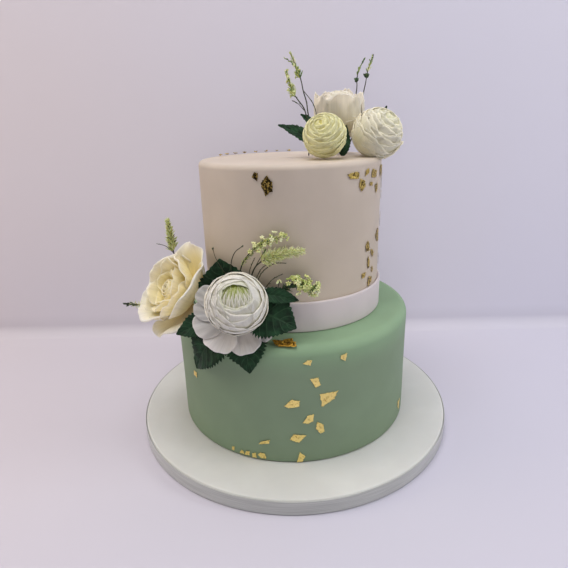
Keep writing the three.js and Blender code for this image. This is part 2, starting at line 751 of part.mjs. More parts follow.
// Leaves: the midrib's base, its bend and its tip, and the way the upper face looks
const LEAVES = {
  front_leaf_1: {
    midrib: [[-47, -66, 132], [-50, -69, 152], [-53, -68, 171]],
    facing: [-0.25, -1, 0.25],
    width: 33,
    fold: 0.15,
    wave: 0.8,
    teeth: 5,
  },
  front_leaf_2: {
    midrib: [[-57, -86, 128], [-70, -92, 129], [-85, -92, 121]],
    facing: [-0.3, -0.9, 0.4],
    width: 18,
    fold: 0.2,
    wave: 0.6,
    teeth: 5,
  },
  front_leaf_3: {
    midrib: [[-48, -84, 124], [-68, -92, 113], [-76, -75.5, 83]],
    facing: [-0.6, -0.75, 0.25],
    width: 33,
    fold: 0.12,
    wave: 0.8,
    teeth: 6,
  },
  front_leaf_4: {
    midrib: [[-35.5, -88, 116.5], [-34, -104, 116], [-31.5, -103.5, 94]],
    facing: [-0.17, -0.5, 0.85],
    width: 26,
    fold: 0.12,
    wave: 0.8,
    teeth: 6,
  },
  front_leaf_5: {
    midrib: [[-30, -87, 139], [-14, -95, 136], [3, -97, 126]],
    facing: [0.15, -0.9, 0.45],
    width: 34,
    fold: 0.12,
    wave: 0.8,
    teeth: 6,
  },
  front_leaf_6: {
    midrib: [[-22, -89, 150], [-9, -92, 150], [5, -91, 145]],
    facing: [0.1, -0.85, 0.5],
    width: 11,
    fold: 0.25,
    wave: 0.5,
    teeth: 5,
  },
  top_leaf_1: {
    midrib: [[22, -15, 250], [9, -14, 258], [-7.6, -12, 263.5]],
    facing: [-0.2, -0.7, 0.7],
    width: 11,
    fold: 0.2,
    wave: 0.4,
    teeth: 5,
  },
  top_leaf_2: {
    midrib: [[21, -8, 262], [16, -7, 268], [10.5, -6, 271]],
    facing: [-0.2, -0.7, 0.7],
    width: 5,
    fold: 0.2,
    wave: 0.2,
    teeth: 3,
  },
  top_leaf_3: {
    midrib: [[62, 14, 246], [77, 14, 262], [83, 15, 276]],
    facing: [0.7, -0.5, 0.5],
    width: 11,
    fold: 0.2,
    wave: 0.4,
    teeth: 5,
  },
  top_leaf_4: {
    midrib: [[43, -19, 239], [44.5, -16, 250], [46, -15, 262]],
    facing: [-0.1, -1, 0.4],
    width: 9,
    fold: 0.15,
    wave: 0.4,
    teeth: 4,
  },
};
Object.entries(LEAVES).forEach(([name, shape]) => {
  addPiece(name, COLOURS.leaf, 0.5, (grow) => leaf(shape, grow));
});

export default cake;
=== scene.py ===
import math

import bpy
import numpy as np
from mathutils import Matrix


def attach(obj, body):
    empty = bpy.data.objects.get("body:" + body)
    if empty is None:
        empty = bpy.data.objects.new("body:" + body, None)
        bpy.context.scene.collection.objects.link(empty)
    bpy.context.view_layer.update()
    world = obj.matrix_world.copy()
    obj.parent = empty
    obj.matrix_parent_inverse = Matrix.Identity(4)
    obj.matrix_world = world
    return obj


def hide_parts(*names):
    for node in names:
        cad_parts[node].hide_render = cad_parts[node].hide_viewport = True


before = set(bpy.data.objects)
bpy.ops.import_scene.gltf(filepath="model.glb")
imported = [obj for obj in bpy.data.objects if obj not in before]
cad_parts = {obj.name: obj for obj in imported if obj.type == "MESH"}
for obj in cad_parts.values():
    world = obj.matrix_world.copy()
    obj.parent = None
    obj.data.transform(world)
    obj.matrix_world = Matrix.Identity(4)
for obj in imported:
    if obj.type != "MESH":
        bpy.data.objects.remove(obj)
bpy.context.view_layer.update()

# The setting: a table top of pale lilac paper that curves up into a wall behind the cake. It isn't
# part of the cake. Sizes are in metres, as the frame's are, unless a comment says millimetres.
scene = bpy.context.scene
scene.view_settings.view_transform = "Standard"

PAPER_HALF_WIDTH = 2.6
PAPER_FRONT = -2.0
PAPER_BACK = 0.155
PAPER_BEND = 0.015
PAPER_TOP = 2.2
TABLE_REAR = 2.6
# The paper's colours carry painted light: warmer on the left, bluer on the right, and lighter on the wall
# than on the table
TABLE_WARM = (0.62, 0.565, 0.585, 1)
TABLE_COOL = (0.585, 0.575, 0.66, 1)
WALL_WARM = (0.72, 0.65, 0.665, 1)
WALL_COOL = (0.69, 0.68, 0.78, 1)


def add_node(tree, kind, inputs=None, **settings):
    """One node: its settings by name, and its inputs by name, each a plain value or another node's
    output."""
    node = tree.nodes.new(kind)
    for name, value in settings.items():
        setattr(node, name, value)
    for name, value in (inputs or {}).items():
        if isinstance(value, bpy.types.NodeSocket):
            tree.links.new(value, node.inputs[name])
        else:
            node.inputs[name].default_value = value
    return node


def start_material(name, **sockets):
    """A new material with its Principled shader, whose constant sockets are given by name."""
    material = bpy.data.materials.new(name)
    material.use_nodes = True
    shader = material.node_tree.nodes["Principled BSDF"]
    for socket, value in sockets.items():
        shader.inputs[socket.replace("_", " ")].default_value = value
    return material, material.node_tree, shader


def grid_faces(rows, columns, wrap=False, first=0):
    """The four-sided faces of a grid of points numbered row by row from first on. wrap joins the last
    column to the first one."""
    number = first + np.arange(rows * columns).reshape(rows, columns)
    if wrap:
        number = np.concatenate([number, number[:, :1]], axis=1)
    corners = [number[:-1, :-1], number[:-1, 1:], number[1:, 1:], number[1:, :-1]]
    return np.stack(corners, axis=-1).reshape(-1, 4)


def mesh_object(name, points, faces, material, uv=None, tone=None):
    """An object from arrays: points n x 3, faces as blocks of rows of point numbers, uv n x 2, and a tone
    of 0 to 1 for each point."""
    mesh = bpy.data.meshes.new(name)
    mesh.from_pydata(points.tolist(), [], [face for block in faces for face in block.tolist()])
    mesh.polygons.foreach_set("use_smooth", np.ones(len(mesh.polygons), bool))
    corner = np.zeros(len(mesh.loops), np.int32)
    mesh.loops.foreach_get("vertex_index", corner)
    if uv is not None:
        mesh.uv_layers.new(name="UVMap").data.foreach_set("uv", uv[corner].astype(np.float32).ravel())
    if tone is not None:
        mesh.attributes.new("tone", "FLOAT", "POINT").data.foreach_set("value", tone.astype(np.float32))
    mesh.materials.append(material)
    mesh.update()
    made = bpy.data.objects.new(name, mesh)
    scene.collection.objects.link(made)
    return made


def paper_material():
    """Lilac paper with painted light: a warm tint on the left, a blue tint on the right, and painted
    lighter on the wall. It shows on its front alone, so that the wall doesn't hide the cake's back from
    someone behind it."""
    material, tree, shader = start_material("pale_paper", Roughness=0.9)
    place = add_node(tree, "ShaderNodeTexCoord").outputs["Object"]
    split = add_node(tree, "ShaderNodeSeparateXYZ", {"Vector": place}).outputs
    cloud = add_node(tree, "ShaderNodeTexNoise", {"Vector": place, "Scale": 1.6, "Detail": 3.0})
    # Painted light: the tint shifts from warm on the left to blue on the right, with a random cloud over it
    right = add_node(tree, "ShaderNodeMapRange", {"Value": split["X"], "From Min": -0.45, "From Max": 0.45,
                                                  "To Min": -0.2, "To Max": 0.8})
    painted_tint_and_cloud = add_node(tree, "ShaderNodeMath", {0: right.outputs["Result"], 1: cloud.outputs["Fac"]},
                    operation="ADD").outputs[0]
    rise = add_node(tree, "ShaderNodeMapRange", {"Value": split["Z"], "From Max": 2 * PAPER_BEND})
    table = add_node(tree, "ShaderNodeMix", {"Factor": painted_tint_and_cloud, "A": TABLE_WARM, "B": TABLE_COOL},
                     data_type="RGBA")
    wall = add_node(tree, "ShaderNodeMix", {"Factor": painted_tint_and_cloud, "A": WALL_WARM, "B": WALL_COOL},
                    data_type="RGBA")
    tint = add_node(tree, "ShaderNodeMix", {"Factor": rise.outputs["Result"], "A": table.outputs["Result"],
                                            "B": wall.outputs["Result"]}, data_type="RGBA")
    behind = add_node(tree, "ShaderNodeNewGeometry").outputs["Backfacing"]
    seen = add_node(tree, "ShaderNodeMath", {0: 1.0, 1: behind}, operation="SUBTRACT")
    tree.links.new(tint.outputs["Result"], shader.inputs["Base Color"])
    tree.links.new(seen.outputs[0], shader.inputs["Alpha"])
    return material


def paper_strip(name, y, z, material):
    """A line of points y, z from front to back, carried straight across the paper's width."""
    x = np.array([-PAPER_HALF_WIDTH, PAPER_HALF_WIDTH])
    points = np.stack([np.broadcast_to(x[None, :], (len(y), 2)), np.repeat(y[:, None], 2, 1),
                       np.repeat(z[:, None], 2, 1)], axis=-1)
    return mesh_object(name, points.reshape(-1, 3), [grid_faces(len(y), 2)], material)


pale_paper = paper_material()
bend = np.linspace(0, math.pi / 2, 24)
paper_y = np.concatenate([[PAPER_FRONT], PAPER_BACK + PAPER_BEND * np.sin(bend),
                          [PAPER_BACK + PAPER_BEND]])
paper_z = np.concatenate([[0], PAPER_BEND - PAPER_BEND * np.cos(bend), [PAPER_TOP]])
paper = paper_strip("paper", paper_y, paper_z, pale_paper)
table_behind = paper_strip("table_behind", np.array([PAPER_BACK, TABLE_REAR]), np.zeros(2), pale_paper)

# The light: wide soft panels on both sides, above and in front, and a pale room round them. The side
# of the cake that faces the viewer is a little darker than its flanks.
# Each panel: its middle, its width and height, its power in watts and its colour.
PANELS = {
    "left_panel": ((-1.00, -0.02, 0.65), (0.6, 0.6), 4.2, (1.0, 0.88, 0.71)),
    "right_panel": ((1.00, -0.25, 0.70), (0.5, 0.5), 4.7, (0.98, 0.98, 0.97)),
    "top_panel": ((-0.12, -0.25, 1.35), (0.9, 0.8), 10.6, (1.0, 0.97, 0.98)),
    "front_panel": ((0.0, -1.3, 0.22), (0.8, 0.3), 2.3, (1.0, 0.96, 0.93)),
}
AIM = np.array([0, 0, 0.12])
ROOM_COLOUR = (0.92, 0.9, 1.0, 1)
ROOM_STRENGTH = 0.15


def turn_towards(place, target):
    """A turning matrix whose -Z runs from place to target."""
    back = np.array(place, float) - np.array(target, float)
    back /= np.linalg.norm(back)
    right = np.cross([0, 0, 1.0], back)
    right /= np.linalg.norm(right)
    up = np.cross(back, right)
    return Matrix(np.stack([right, up, back], axis=1).tolist()).to_4x4()


for name, (place, size, power, colour) in PANELS.items():
    lamp = bpy.data.lights.new(name, "AREA")
    lamp.shape = "RECTANGLE"
    lamp.size, lamp.size_y = size
    lamp.energy = power
    lamp.color = colour
    holder = bpy.data.objects.new(name, lamp)
    holder.visible_camera = False
    holder.matrix_world = Matrix.Translation(place) @ turn_towards(place, AIM)
    scene.collection.objects.link(holder)

room = bpy.data.worlds.new("pale_room")
room.use_nodes = True
room.node_tree.nodes["Background"].inputs["Color"].default_value = ROOM_COLOUR
room.node_tree.nodes["Background"].inputs["Strength"].default_value = ROOM_STRENGTH
scene.world = room

# The camera: it stands close in front of the cake, a little higher than its top, and looks down on it.
# Its place, turn, tip and slight roll were worked out from the outlines of the board and the tiers.
CAMERA_PLACE = (0, -0.400, 0.2665)
CAMERA_DOWN = math.radians(19.37)
CAMERA_ROLL = math.radians(1.66)
CAMERA_TURN = math.radians(0.96)
PHOTO_WIDTH = 568
FOCAL_PIXELS = 464
SENSOR_WIDTH = 36


def camera_axes():
    """The camera's right, up and back: turned about the upright, tipped down, then rolled."""
    forward = np.array([-math.sin(CAMERA_TURN) * math.cos(CAMERA_DOWN),
                        math.cos(CAMERA_TURN) * math.cos(CAMERA_DOWN), -math.sin(CAMERA_DOWN)])
    level = np.array([math.cos(CAMERA_TURN), math.sin(CAMERA_TURN), 0])
    over = np.cross(level, forward)
    right = math.cos(CAMERA_ROLL) * level - math.sin(CAMERA_ROLL) * over
    up = math.sin(CAMERA_ROLL) * level + math.cos(CAMERA_ROLL) * over
    return np.stack([right, up, -forward], axis=1)


camera_data = bpy.data.cameras.new("camera")
camera_data.sensor_width = SENSOR_WIDTH
camera_data.sensor_fit = "HORIZONTAL"
camera_data.lens = SENSOR_WIDTH * FOCAL_PIXELS / PHOTO_WIDTH
camera_data.clip_start = 0.01
camera = bpy.data.objects.new("camera", camera_data)
camera.matrix_world = Matrix.Translation(CAMERA_PLACE) @ Matrix(camera_axes().tolist()).to_4x4()
scene.collection.objects.link(camera)
scene.camera = camera

# The board: a thick card drum under a sheet of white rolled icing, smoothed by hand, so the icing
# is matt, faintly uneven and eased over the rim.
ROUND_COLUMNS = 288
BOARD_RADIUS = 0.1414
BOARD_HEIGHT = 0.013
BOARD_EDGE = 0.0018
BOARD_FOOT_EDGE = 0.0004
BOARD_COLOURS = ((0.64, 0.65, 0.62), (0.65, 0.66, 0.63))
ICING_UNEVEN = 0.00012
ICING_SCATTER = (1.0, 0.7, 0.5)
MOTTLE_SHADE = (0.94, 0.94, 0.94, 1)
WALL_WAVES = (2, 3, 5, 9)
WALL_FROM = 0.9
UNDERSIDE_SHARE = 0.96
TOP_SHARE = 0.97
FOOT_POINTS = 4
EDGE_POINTS = 12
WALL_POINTS = 14


def turned_piece(name, profile, material, shift=0.0, uneven=0.0, seed=1):
    """A profile of radius and height carried round the upright axis, from the axis below to the axis
    above. The wall is all that lies beyond the share WALL_FROM of the radius. Its radius swings by slow
    waves round it, uneven at most each, and both poles are closed by triangles."""
    radius, height = np.array(profile, float)[1:-1].T
    angle = np.linspace(0, 2 * math.pi, ROUND_COLUMNS, endpoint=False)
    draw = np.random.default_rng(seed)
    swing = np.zeros((len(radius), ROUND_COLUMNS))
    for turns in WALL_WAVES:
        phase = draw.uniform(0, 6.28)
        climb = draw.uniform(10, 60)
        swing += np.sin(turns * angle[None, :] + phase + climb * height[:, None]) / turns
    on_wall = radius[:, None] > WALL_FROM * radius.max()
    reach = radius[:, None] + uneven * swing * on_wall
    points = np.stack([shift + reach * np.sin(angle), -reach * np.cos(angle),
                       np.broadcast_to(height[:, None], reach.shape)], axis=-1).reshape(-1, 3)
    poles = np.array([[shift, 0, profile[0][1]], [shift, 0, profile[-1][1]]])
    around = np.arange(ROUND_COLUMNS)
    after = np.roll(around, -1)
    last = (len(radius) - 1) * ROUND_COLUMNS
    below = np.stack([np.full_like(around, len(points)), after, around], axis=-1)
    above = np.stack([np.full_like(around, len(points) + 1), last + around, last + after], axis=-1)
    faces = [grid_faces(len(radius), ROUND_COLUMNS, wrap=True), below, above]
    return mesh_object(name, np.concatenate([points, poles]), faces, material)


def eased_profile(radius, low, high, edge, foot, inset_rows=8):
    """The outline of a disc of icing: flat below, a small round at the foot, a wall, a quarter round and
    a flat top."""
    inner = [(radius * share, low) for share in np.linspace(0, UNDERSIDE_SHARE, inset_rows)]
    lower = [(radius - foot + foot * math.sin(t), low + foot - foot * math.cos(t))
             for t in np.linspace(0, math.pi / 2, FOOT_POINTS)]
    wall = [(radius, z) for z in np.linspace(low + foot, high - edge, WALL_POINTS)[1:-1]]
    upper = [(radius - edge + edge * math.cos(t), high - edge + edge * math.sin(t))
             for t in np.linspace(0, math.pi / 2, EDGE_POINTS)]
    flat_share = (radius - edge) / radius * TOP_SHARE
    top = [(radius * share, high) for share in np.linspace(flat_share, 0, 2 * inset_rows)]
    return inner + lower + wall + upper + top


def rolled_icing_group():
    """Rolled icing: a slow mottle in the colour, a fine grain and slow dips in the height, and a roughness
    that follows the grain. Grain and mottle are counted in patches a metre."""
    group = bpy.data.node_groups.new("rolled_icing", "ShaderNodeTree")
    for name, kind, value in (("Colour", "NodeSocketColor", (0.8, 0.8, 0.8, 1)),
                              ("Mottled Colour", "NodeSocketColor", (0.75, 0.75, 0.75, 1)),
                              ("Grain", "NodeSocketFloat", 2600.0), ("Mottle", "NodeSocketFloat", 26.0)):
        group.interface.new_socket(name, in_out="INPUT", socket_type=kind).default_value = value
    for name, kind in (("Colour", "NodeSocketColor"), ("Roughness", "NodeSocketFloat"),
                       ("Height", "NodeSocketFloat")):
        group.interface.new_socket(name, in_out="OUTPUT", socket_type=kind)
    given = add_node(group, "NodeGroupInput").outputs
    place = add_node(group, "ShaderNodeTexCoord").outputs["Object"]
    slow = add_node(group, "ShaderNodeTexNoise", {"Vector": place, "Scale": given["Mottle"], "Detail": 3.0})
    fine = add_node(group, "ShaderNodeTexNoise", {"Vector": place, "Scale": given["Grain"], "Detail": 2.0})
    soft = add_node(group, "ShaderNodeMapRange", {"Value": slow.outputs["Fac"], "From Min": 0.35,
                                                  "From Max": 0.65}, interpolation_type="SMOOTHSTEP")
    tint = add_node(group, "ShaderNodeMix", {"Factor": soft.outputs["Result"], "A": given["Colour"],
                                             "B": given["Mottled Colour"]}, data_type="RGBA")
    rough = add_node(group, "ShaderNodeMapRange", {"Value": fine.outputs["Fac"], "To Min": 0.56,
                                                   "To Max": 0.76})
    dips = add_node(group, "ShaderNodeMath", {0: slow.outputs["Fac"], 1: 3.0}, operation="MULTIPLY")
    height = add_node(group, "ShaderNodeMath", {0: dips.outputs[0], 1: fine.outputs["Fac"]},
                      operation="ADD")
    add_node(group, "NodeGroupOutput", {"Colour": tint.outputs["Result"],
                                        "Roughness": rough.outputs["Result"],
                                        "Height": height.outputs[0]})
    return group


ICING_GROUP = rolled_icing_group()


def icing_material(name, colours, low_z, high_z):
    """Matt icing whose colour goes from the first of two colours to the second between two heights."""
    material, tree, shader = start_material(name, Subsurface_Weight=0.12, Subsurface_Scale=0.004,
                                            Subsurface_Radius=ICING_SCATTER)
    low_colour, high_colour = colours
    place = add_node(tree, "ShaderNodeTexCoord").outputs["Object"]
    height = add_node(tree, "ShaderNodeSeparateXYZ", {"Vector": place}).outputs["Z"]
    share = add_node(tree, "ShaderNodeMapRange", {"Value": height, "From Min": low_z, "From Max": high_z},
                     interpolation_type="SMOOTHSTEP")
    colour = add_node(tree, "ShaderNodeMix", {"Factor": share.outputs["Result"], "A": (*low_colour, 1),
                                              "B": (*high_colour, 1)}, data_type="RGBA")
    darker = add_node(tree, "ShaderNodeMix", {"Factor": 1.0, "A": colour.outputs["Result"],
                                              "B": MOTTLE_SHADE}, data_type="RGBA", blend_type="MULTIPLY")
    icing = add_node(tree, "ShaderNodeGroup", node_tree=ICING_GROUP)
    tree.links.new(colour.outputs["Result"], icing.inputs["Colour"])
    tree.links.new(darker.outputs["Result"], icing.inputs["Mottled Colour"])
    bump = add_node(tree, "ShaderNodeBump", {"Strength": 0.25, "Distance": 0.0002,
                                             "Height": icing.outputs["Height"]})
    tree.links.new(icing.outputs["Colour"], shader.inputs["Base Color"])
    tree.links.new(icing.outputs["Roughness"], shader.inputs["Roughness"])
    tree.links.new(bump.outputs["Normal"], shader.inputs["Normal"])
    return material


board_icing = icing_material("board_icing", BOARD_COLOURS, 0, BOARD_HEIGHT)
board_profile = eased_profile(BOARD_RADIUS, 0, BOARD_HEIGHT, BOARD_EDGE, BOARD_FOOT_EDGE)
board = turned_piece("iced_board", board_profile, board_icing, uneven=ICING_UNEVEN, seed=4)
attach(board, "root")
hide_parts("board")

# The ribbon: silver grey satin, glued round the board's edge, with its end lapped over at the back.
# Its weave runs round the board, so the light draws fine level lines on it.
RIBBON_INNER = BOARD_RADIUS + 0.0003
RIBBON_THICKNESS = 0.0005
RIBBON_LOW = 0.0006
RIBBON_HIGH = 0.0122
RIBBON_EDGE = 0.0001
RIBBON_LAP = 0.0003
LAP_SHARE = 0.06
LAP_DROP = 0.004
SATIN_DARK = (0.36, 0.37, 0.36, 1)
SATIN_LIGHT = (0.55, 0.56, 0.54, 1)


def lapped_ring(name, inner, thickness, low, high, edge, lap, material, shift=0.0, rows=8):
    """A thin strip bent into a ring: an outline of its section carried round the axis. Over the last
    share of the turn, which ends at the back, its outer face climbs by lap and then drops back."""
    outer = inner + thickness
    section = [(inner, low), (outer - edge, low)]
    section += [(outer - edge + edge * math.sin(t), low + edge - edge * math.cos(t))
                for t in np.linspace(0, math.pi / 2, FOOT_POINTS)]
    section += [(outer, z) for z in np.linspace(low + edge, high - edge, rows)[1:-1]]
    section += [(outer - edge + edge * math.cos(t), high - edge + edge * math.sin(t))
                for t in np.linspace(0, math.pi / 2, FOOT_POINTS)]
    section += [(inner, high)]
    radius, height = np.array(section).T
    turn = np.linspace(0, 1, ROUND_COLUMNS, endpoint=False)
    angle = math.pi + 2 * math.pi * turn
    climb = lap * np.clip((turn - 1 + LAP_SHARE) / LAP_SHARE, 0, 1) * np.clip((1 - turn) / LAP_DROP, 0, 1)
    reach = radius[:, None] + climb[None, :] * (radius[:, None] > inner + thickness / 2)
    points = np.stack([shift + reach * np.sin(angle), -reach * np.cos(angle),
                       np.broadcast_to(height[:, None], reach.shape)], axis=-1)
    closed = np.concatenate([points, points[:1]])
    faces = grid_faces(len(closed), ROUND_COLUMNS, wrap=True)
    own_points = len(points) * ROUND_COLUMNS
    faces = np.where(faces >= own_points, faces - own_points, faces)
    return mesh_object(name, points.reshape(-1, 3), [faces], material)


def satin_material():
    """Satin: level threads as fine bands of height, and a slow change of sheen along the strip."""
    material, tree, shader = start_material("grey_satin", Roughness=0.32, Anisotropic=0.6,
                                            Sheen_Weight=0.25)
    place = add_node(tree, "ShaderNodeTexCoord").outputs["Object"]
    stretched = add_node(tree, "ShaderNodeMapping", {"Vector": place, "Scale": (30, 30, 2600)})
    threads = add_node(tree, "ShaderNodeTexNoise", {"Vector": stretched.outputs["Vector"], "Scale": 1.0,
                                                    "Detail": 2.0})
    shade = add_node(tree, "ShaderNodeMapRange", {"Value": threads.outputs["Fac"], "From Min": 0.3,
                                                  "From Max": 0.7})
    tint = add_node(tree, "ShaderNodeMix", {"Factor": shade.outputs["Result"], "A": SATIN_DARK,
                                            "B": SATIN_LIGHT}, data_type="RGBA")
    bump = add_node(tree, "ShaderNodeBump", {"Strength": 0.3, "Distance": 0.0002,
                                             "Height": threads.outputs["Fac"]})
    tree.links.new(tint.outputs["Result"], shader.inputs["Base Color"])
    tree.links.new(bump.outputs["Normal"], shader.inputs["Normal"])
    return material


ribbon = lapped_ring("satin_ribbon", RIBBON_INNER, RIBBON_THICKNESS, RIBBON_LOW, RIBBON_HIGH, RIBBON_EDGE,
                     RIBBON_LAP, satin_material())
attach(ribbon, "root")
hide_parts("board_ribbon")

# The lower tier: a round cake under sage green rolled icing, eased over the rim, with painted light
# that makes its ledge lighter and mintier. It stands on the board in a bead of its own icing.
LOWER_RADIUS = 0.103
LOWER_FOOT = 0.0133
LOWER_TOP = 0.113
LOWER_EDGE = 0.008
LOWER_FOOT_EDGE = 0.0015
# The first colour is the wall's, the second a lighter mint, painted light on the ledge
LOWER_COLOURS = ((0.215, 0.300, 0.190), (0.250, 0.385, 0.230))
PAINTED_LIGHT_FROM = 0.088
PAINTED_LIGHT_TO = LOWER_TOP - 0.001
green_icing = icing_material("green_icing", LOWER_COLOURS, PAINTED_LIGHT_FROM, PAINTED_LIGHT_TO)
lower_profile = eased_profile(LOWER_RADIUS, LOWER_FOOT, LOWER_TOP, LOWER_EDGE, LOWER_FOOT_EDGE)
lower_tier = turned_piece("green_tier", lower_profile, green_icing, uneven=2 * ICING_UNEVEN, seed=7)
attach(lower_tier, "root")
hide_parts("lower_tier")

# The upper tier: a smaller, taller round cake under ivory rolled icing, with a sharper top edge. It
# stands on the lower tier, held by hidden rods, and is set a touch to the right.
UPPER_SHIFT = 0.001
UPPER_RADIUS = 0.0753
UPPER_FOOT = 0.1133
UPPER_TOP = 0.238
UPPER_EDGE = 0.004
UPPER_FOOT_EDGE = 0.001
# The ivory turns a touch lighter and less yellow from the foot to the top: painted light from above
UPPER_COLOURS = ((0.56, 0.485, 0.385), (0.57, 0.495, 0.415))
white_icing = icing_material("white_icing", UPPER_COLOURS, UPPER_FOOT, UPPER_TOP)
upper_profile = eased_profile(UPPER_RADIUS, UPPER_FOOT, UPPER_TOP, UPPER_EDGE, UPPER_FOOT_EDGE)
upper_tier = turned_piece("ivory_tier", upper_profile, white_icing, shift=UPPER_SHIFT,
                          uneven=ICING_UNEVEN, seed=9)
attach(upper_tier, "root")
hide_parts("upper_tier")

# The band: a second strip of the ivory icing, wrapped round the foot of the upper tier and joined at
# the back. Its top edge is softly rounded by hand.
BAND_INNER = UPPER_RADIUS + 0.0003
BAND_THICKNESS = 0.0020
BAND_TOP = 0.1375
BAND_EDGE = 0.0008
BAND_LAP = 0.0005
BAND_COLOURS = ((0.67, 0.61, 0.61), (0.67, 0.61, 0.61))
band_icing = icing_material("band_icing", BAND_COLOURS, UPPER_FOOT, BAND_TOP)
band = lapped_ring("ivory_band", BAND_INNER, BAND_THICKNESS, UPPER_FOOT, BAND_TOP, BAND_EDGE, BAND_LAP,
                   band_icing, shift=UPPER_SHIFT, rows=14)
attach(band, "root")
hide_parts("upper_band")

# Gold leaf: torn scraps of beaten gold, pressed on to the damp icing with a dry brush. Each is
# crumpled, with a ragged edge that stands off the icing here and there.
GOLD_PROUD = 0.00035
GOLD_CRUMPLE = 0.0004
GOLD_THICKNESS = 0.00008
SCRAP_RINGS = 9
SCRAP_SPOKES = 40
SCRAP_REACH = (0.55, 0.92)
SCRAP_RAGGED = 0.09
SCRAP_CREASES = 5
CREASE_RUNS = (1600, 4200)
# Each scrap on a wall: its azimuth in degrees from the front to the right, its height, width and length
# in millimetres, and its turn in radians
LOWER_SCRAPS = [
    (21, 102, 4.5, 4.5, 0.3), (6, 101, 4.5, 4, 0), (9, 85.5, 6, 6, 0.7), (14, 70.5, 11, 9, 0.4),
    (-1, 66.5, 8, 5, 0.3), (6, 53, 4.5, 8.5, -0.6), (11, 45, 4.5, 7, 0.3), (1.5, 36.5, 8, 6.5, 0),
    (-13, 31, 6.5, 2.5, 0.4), (-14.5, 18.5, 5, 5, 0.2), (2, 18.3, 5, 8, 0), (-18, 17, 3.5, 3.5, 0.4),
    (-21.5, 17.5, 4, 3, 0.2), (-24.5, 17.5, 3.5, 2.5, 0), (-29, 18, 3.5, 3, 0.5), (-51, 72, 4, 5, 0.2),
    (63, 28, 5, 10, 0.2),
]
UPPER_SCRAPS = [
    (-19, 230.5, 3.6, 4.8, 0), (-12.5, 224, 7.5, 8, 0.2), (37.5, 228, 10, 4.5, 0), (49, 229.5, 5, 3.5, 0.5),
    (57.5, 227.5, 7, 6, 0.3), (72, 228, 9, 8, 0.2), (44, 221, 5, 7, 0.3), (53.5, 220, 4, 4, 0),
    (61, 216.5, 6, 6, 0.6), (80, 218.5, 7, 9, 0), (79, 207, 5, 6, 0.3), (79, 186, 6, 9, 0.1),
    (67.5, 176.5, 8, 9, 0.4), (51.5, 171, 5.5, 6.5, 0.2), (58, 165, 3.5, 5, 0.5), (53.5, 158, 3, 7, 0.1),
    (79, 152, 5, 8, 0), (47.5, 149.5, 5, 4, 0.4), (59, 151, 3, 4, 0.3), (55.5, 142, 6, 6, 0.3),
]
# The scraps on the ledge lie on each other: a step right and back, a lean in degrees, width, length, turn
RIM_PLACE = (-0.0055, -0.0967, LOWER_TOP + 0.0002)
RIM_SCRAPS = [(0, 0, 0, 0.013, 0.006, 0), (0.001, 0.0005, 14, 0.009, 0.005, 0.4)]
RIM_LEAN = 13
RIM_AZIMUTH = -3
RIM_CRUMPLE = 0.0016
BACK_SCRAPS = 5
SIDE_SCRAPS = 5
FAR_FLECKS = 8
FAR_FLECK_AZIMUTH = 247
FAR_FLECK_STEP = 9.5
FAR_FLECK_CRUMPLE = 0.0024


def torn_scrap(width, length, turn, draw, crumple):
    """Local points of one scrap, rings by spokes. Its outline is a polygon of 4 or 5 uneven corners with a
    fine ragged edge. Its height is a sum of slanting waves, lowest in the middle."""
    corners = draw.integers(4, 6)
    at = (np.arange(corners) + 0.6 * draw.uniform(size=corners)) / corners * 2 * math.pi
    reach = draw.uniform(*SCRAP_REACH, corners)
    corner_points = np.stack([reach * np.cos(at), reach * np.sin(at)], axis=-1)
    step = np.linspace(0, corners, SCRAP_SPOKES, endpoint=False)
    first = step.astype(int)
    share = (step - first)[:, None]
    edge = corner_points[first] * (1 - share) + corner_points[(first + 1) % corners] * share
    edge *= 1 + SCRAP_RAGGED * draw.uniform(-1, 1, (SCRAP_SPOKES, 1))
    ring = np.linspace(0, 1, SCRAP_RINGS)[:, None, None]
    flat = ring * edge[None] * np.array([width, length])
    x = flat[..., 0] * math.cos(turn) - flat[..., 1] * math.sin(turn)
    y = flat[..., 0] * math.sin(turn) + flat[..., 1] * math.cos(turn)
    height = np.zeros_like(x)
    for _ in range(SCRAP_CREASES):
        run = draw.uniform(0, math.pi)
        phase = draw.uniform(0, 6.28)
        wave = draw.uniform(*CREASE_RUNS)
        height += np.abs(np.sin(wave * (x * math.cos(run) + y * math.sin(run)) / 2 + phase))
    height = GOLD_PROUD + crumple * height / SCRAP_CREASES * (0.4 + 0.6 * ring[..., 0])
    return x, y, height


def scrap_faces(first):
    """Rings of four-sided faces round a fan of triangles, because the innermost ring is one point. first is
    the number of that point."""
    around = np.arange(SCRAP_SPOKES)
    after = np.roll(around, -1)
    fan = np.stack([np.full_like(around, first), first + 1 + around, first + 1 + after], axis=-1)
    return [fan, grid_faces(SCRAP_RINGS - 1, SCRAP_SPOKES, wrap=True, first=first + 1)]


def gold_leaf(name, scraps, material):
    """Joins scraps, each given as points rings x spokes x 3, into one thin piece."""
    points, faces = [], []
    first = 0
    for scrap in scraps:
        points += [scrap[:1, 0], scrap[1:].reshape(-1, 3)]
        faces += scrap_faces(first)
        first += 1 + (SCRAP_RINGS - 1) * SCRAP_SPOKES
    piece = mesh_object(name, np.concatenate(points), faces, material)
    skin = piece.modifiers.new("thickness", "SOLIDIFY")
    skin.thickness = GOLD_THICKNESS
    skin.offset = 0
    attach(piece, "root")
    return piece


def scrap_on_wall(radius, shift, azimuth, height, size, turn, draw):
    """A scrap bent round a tier's wall: its x runs round the wall from the azimuth, its y runs up it, and
    its own height stands off it."""
    x, y, proud = torn_scrap(size[0], size[1], turn, draw, GOLD_CRUMPLE)
    angle = math.radians(azimuth) + x / radius
    reach = radius + proud
    return np.stack([shift + reach * np.sin(angle), -reach * np.cos(angle), height + y], axis=-1)


def wall_scraps(radius, shift, rows, draw):
    """The scraps of a table of rows, whose lengths are in millimetres."""
    return [scrap_on_wall(radius, shift, azimuth, height / 1000, (width / 1000, length / 1000), turn, draw)
            for azimuth, height, width, length, turn in rows]


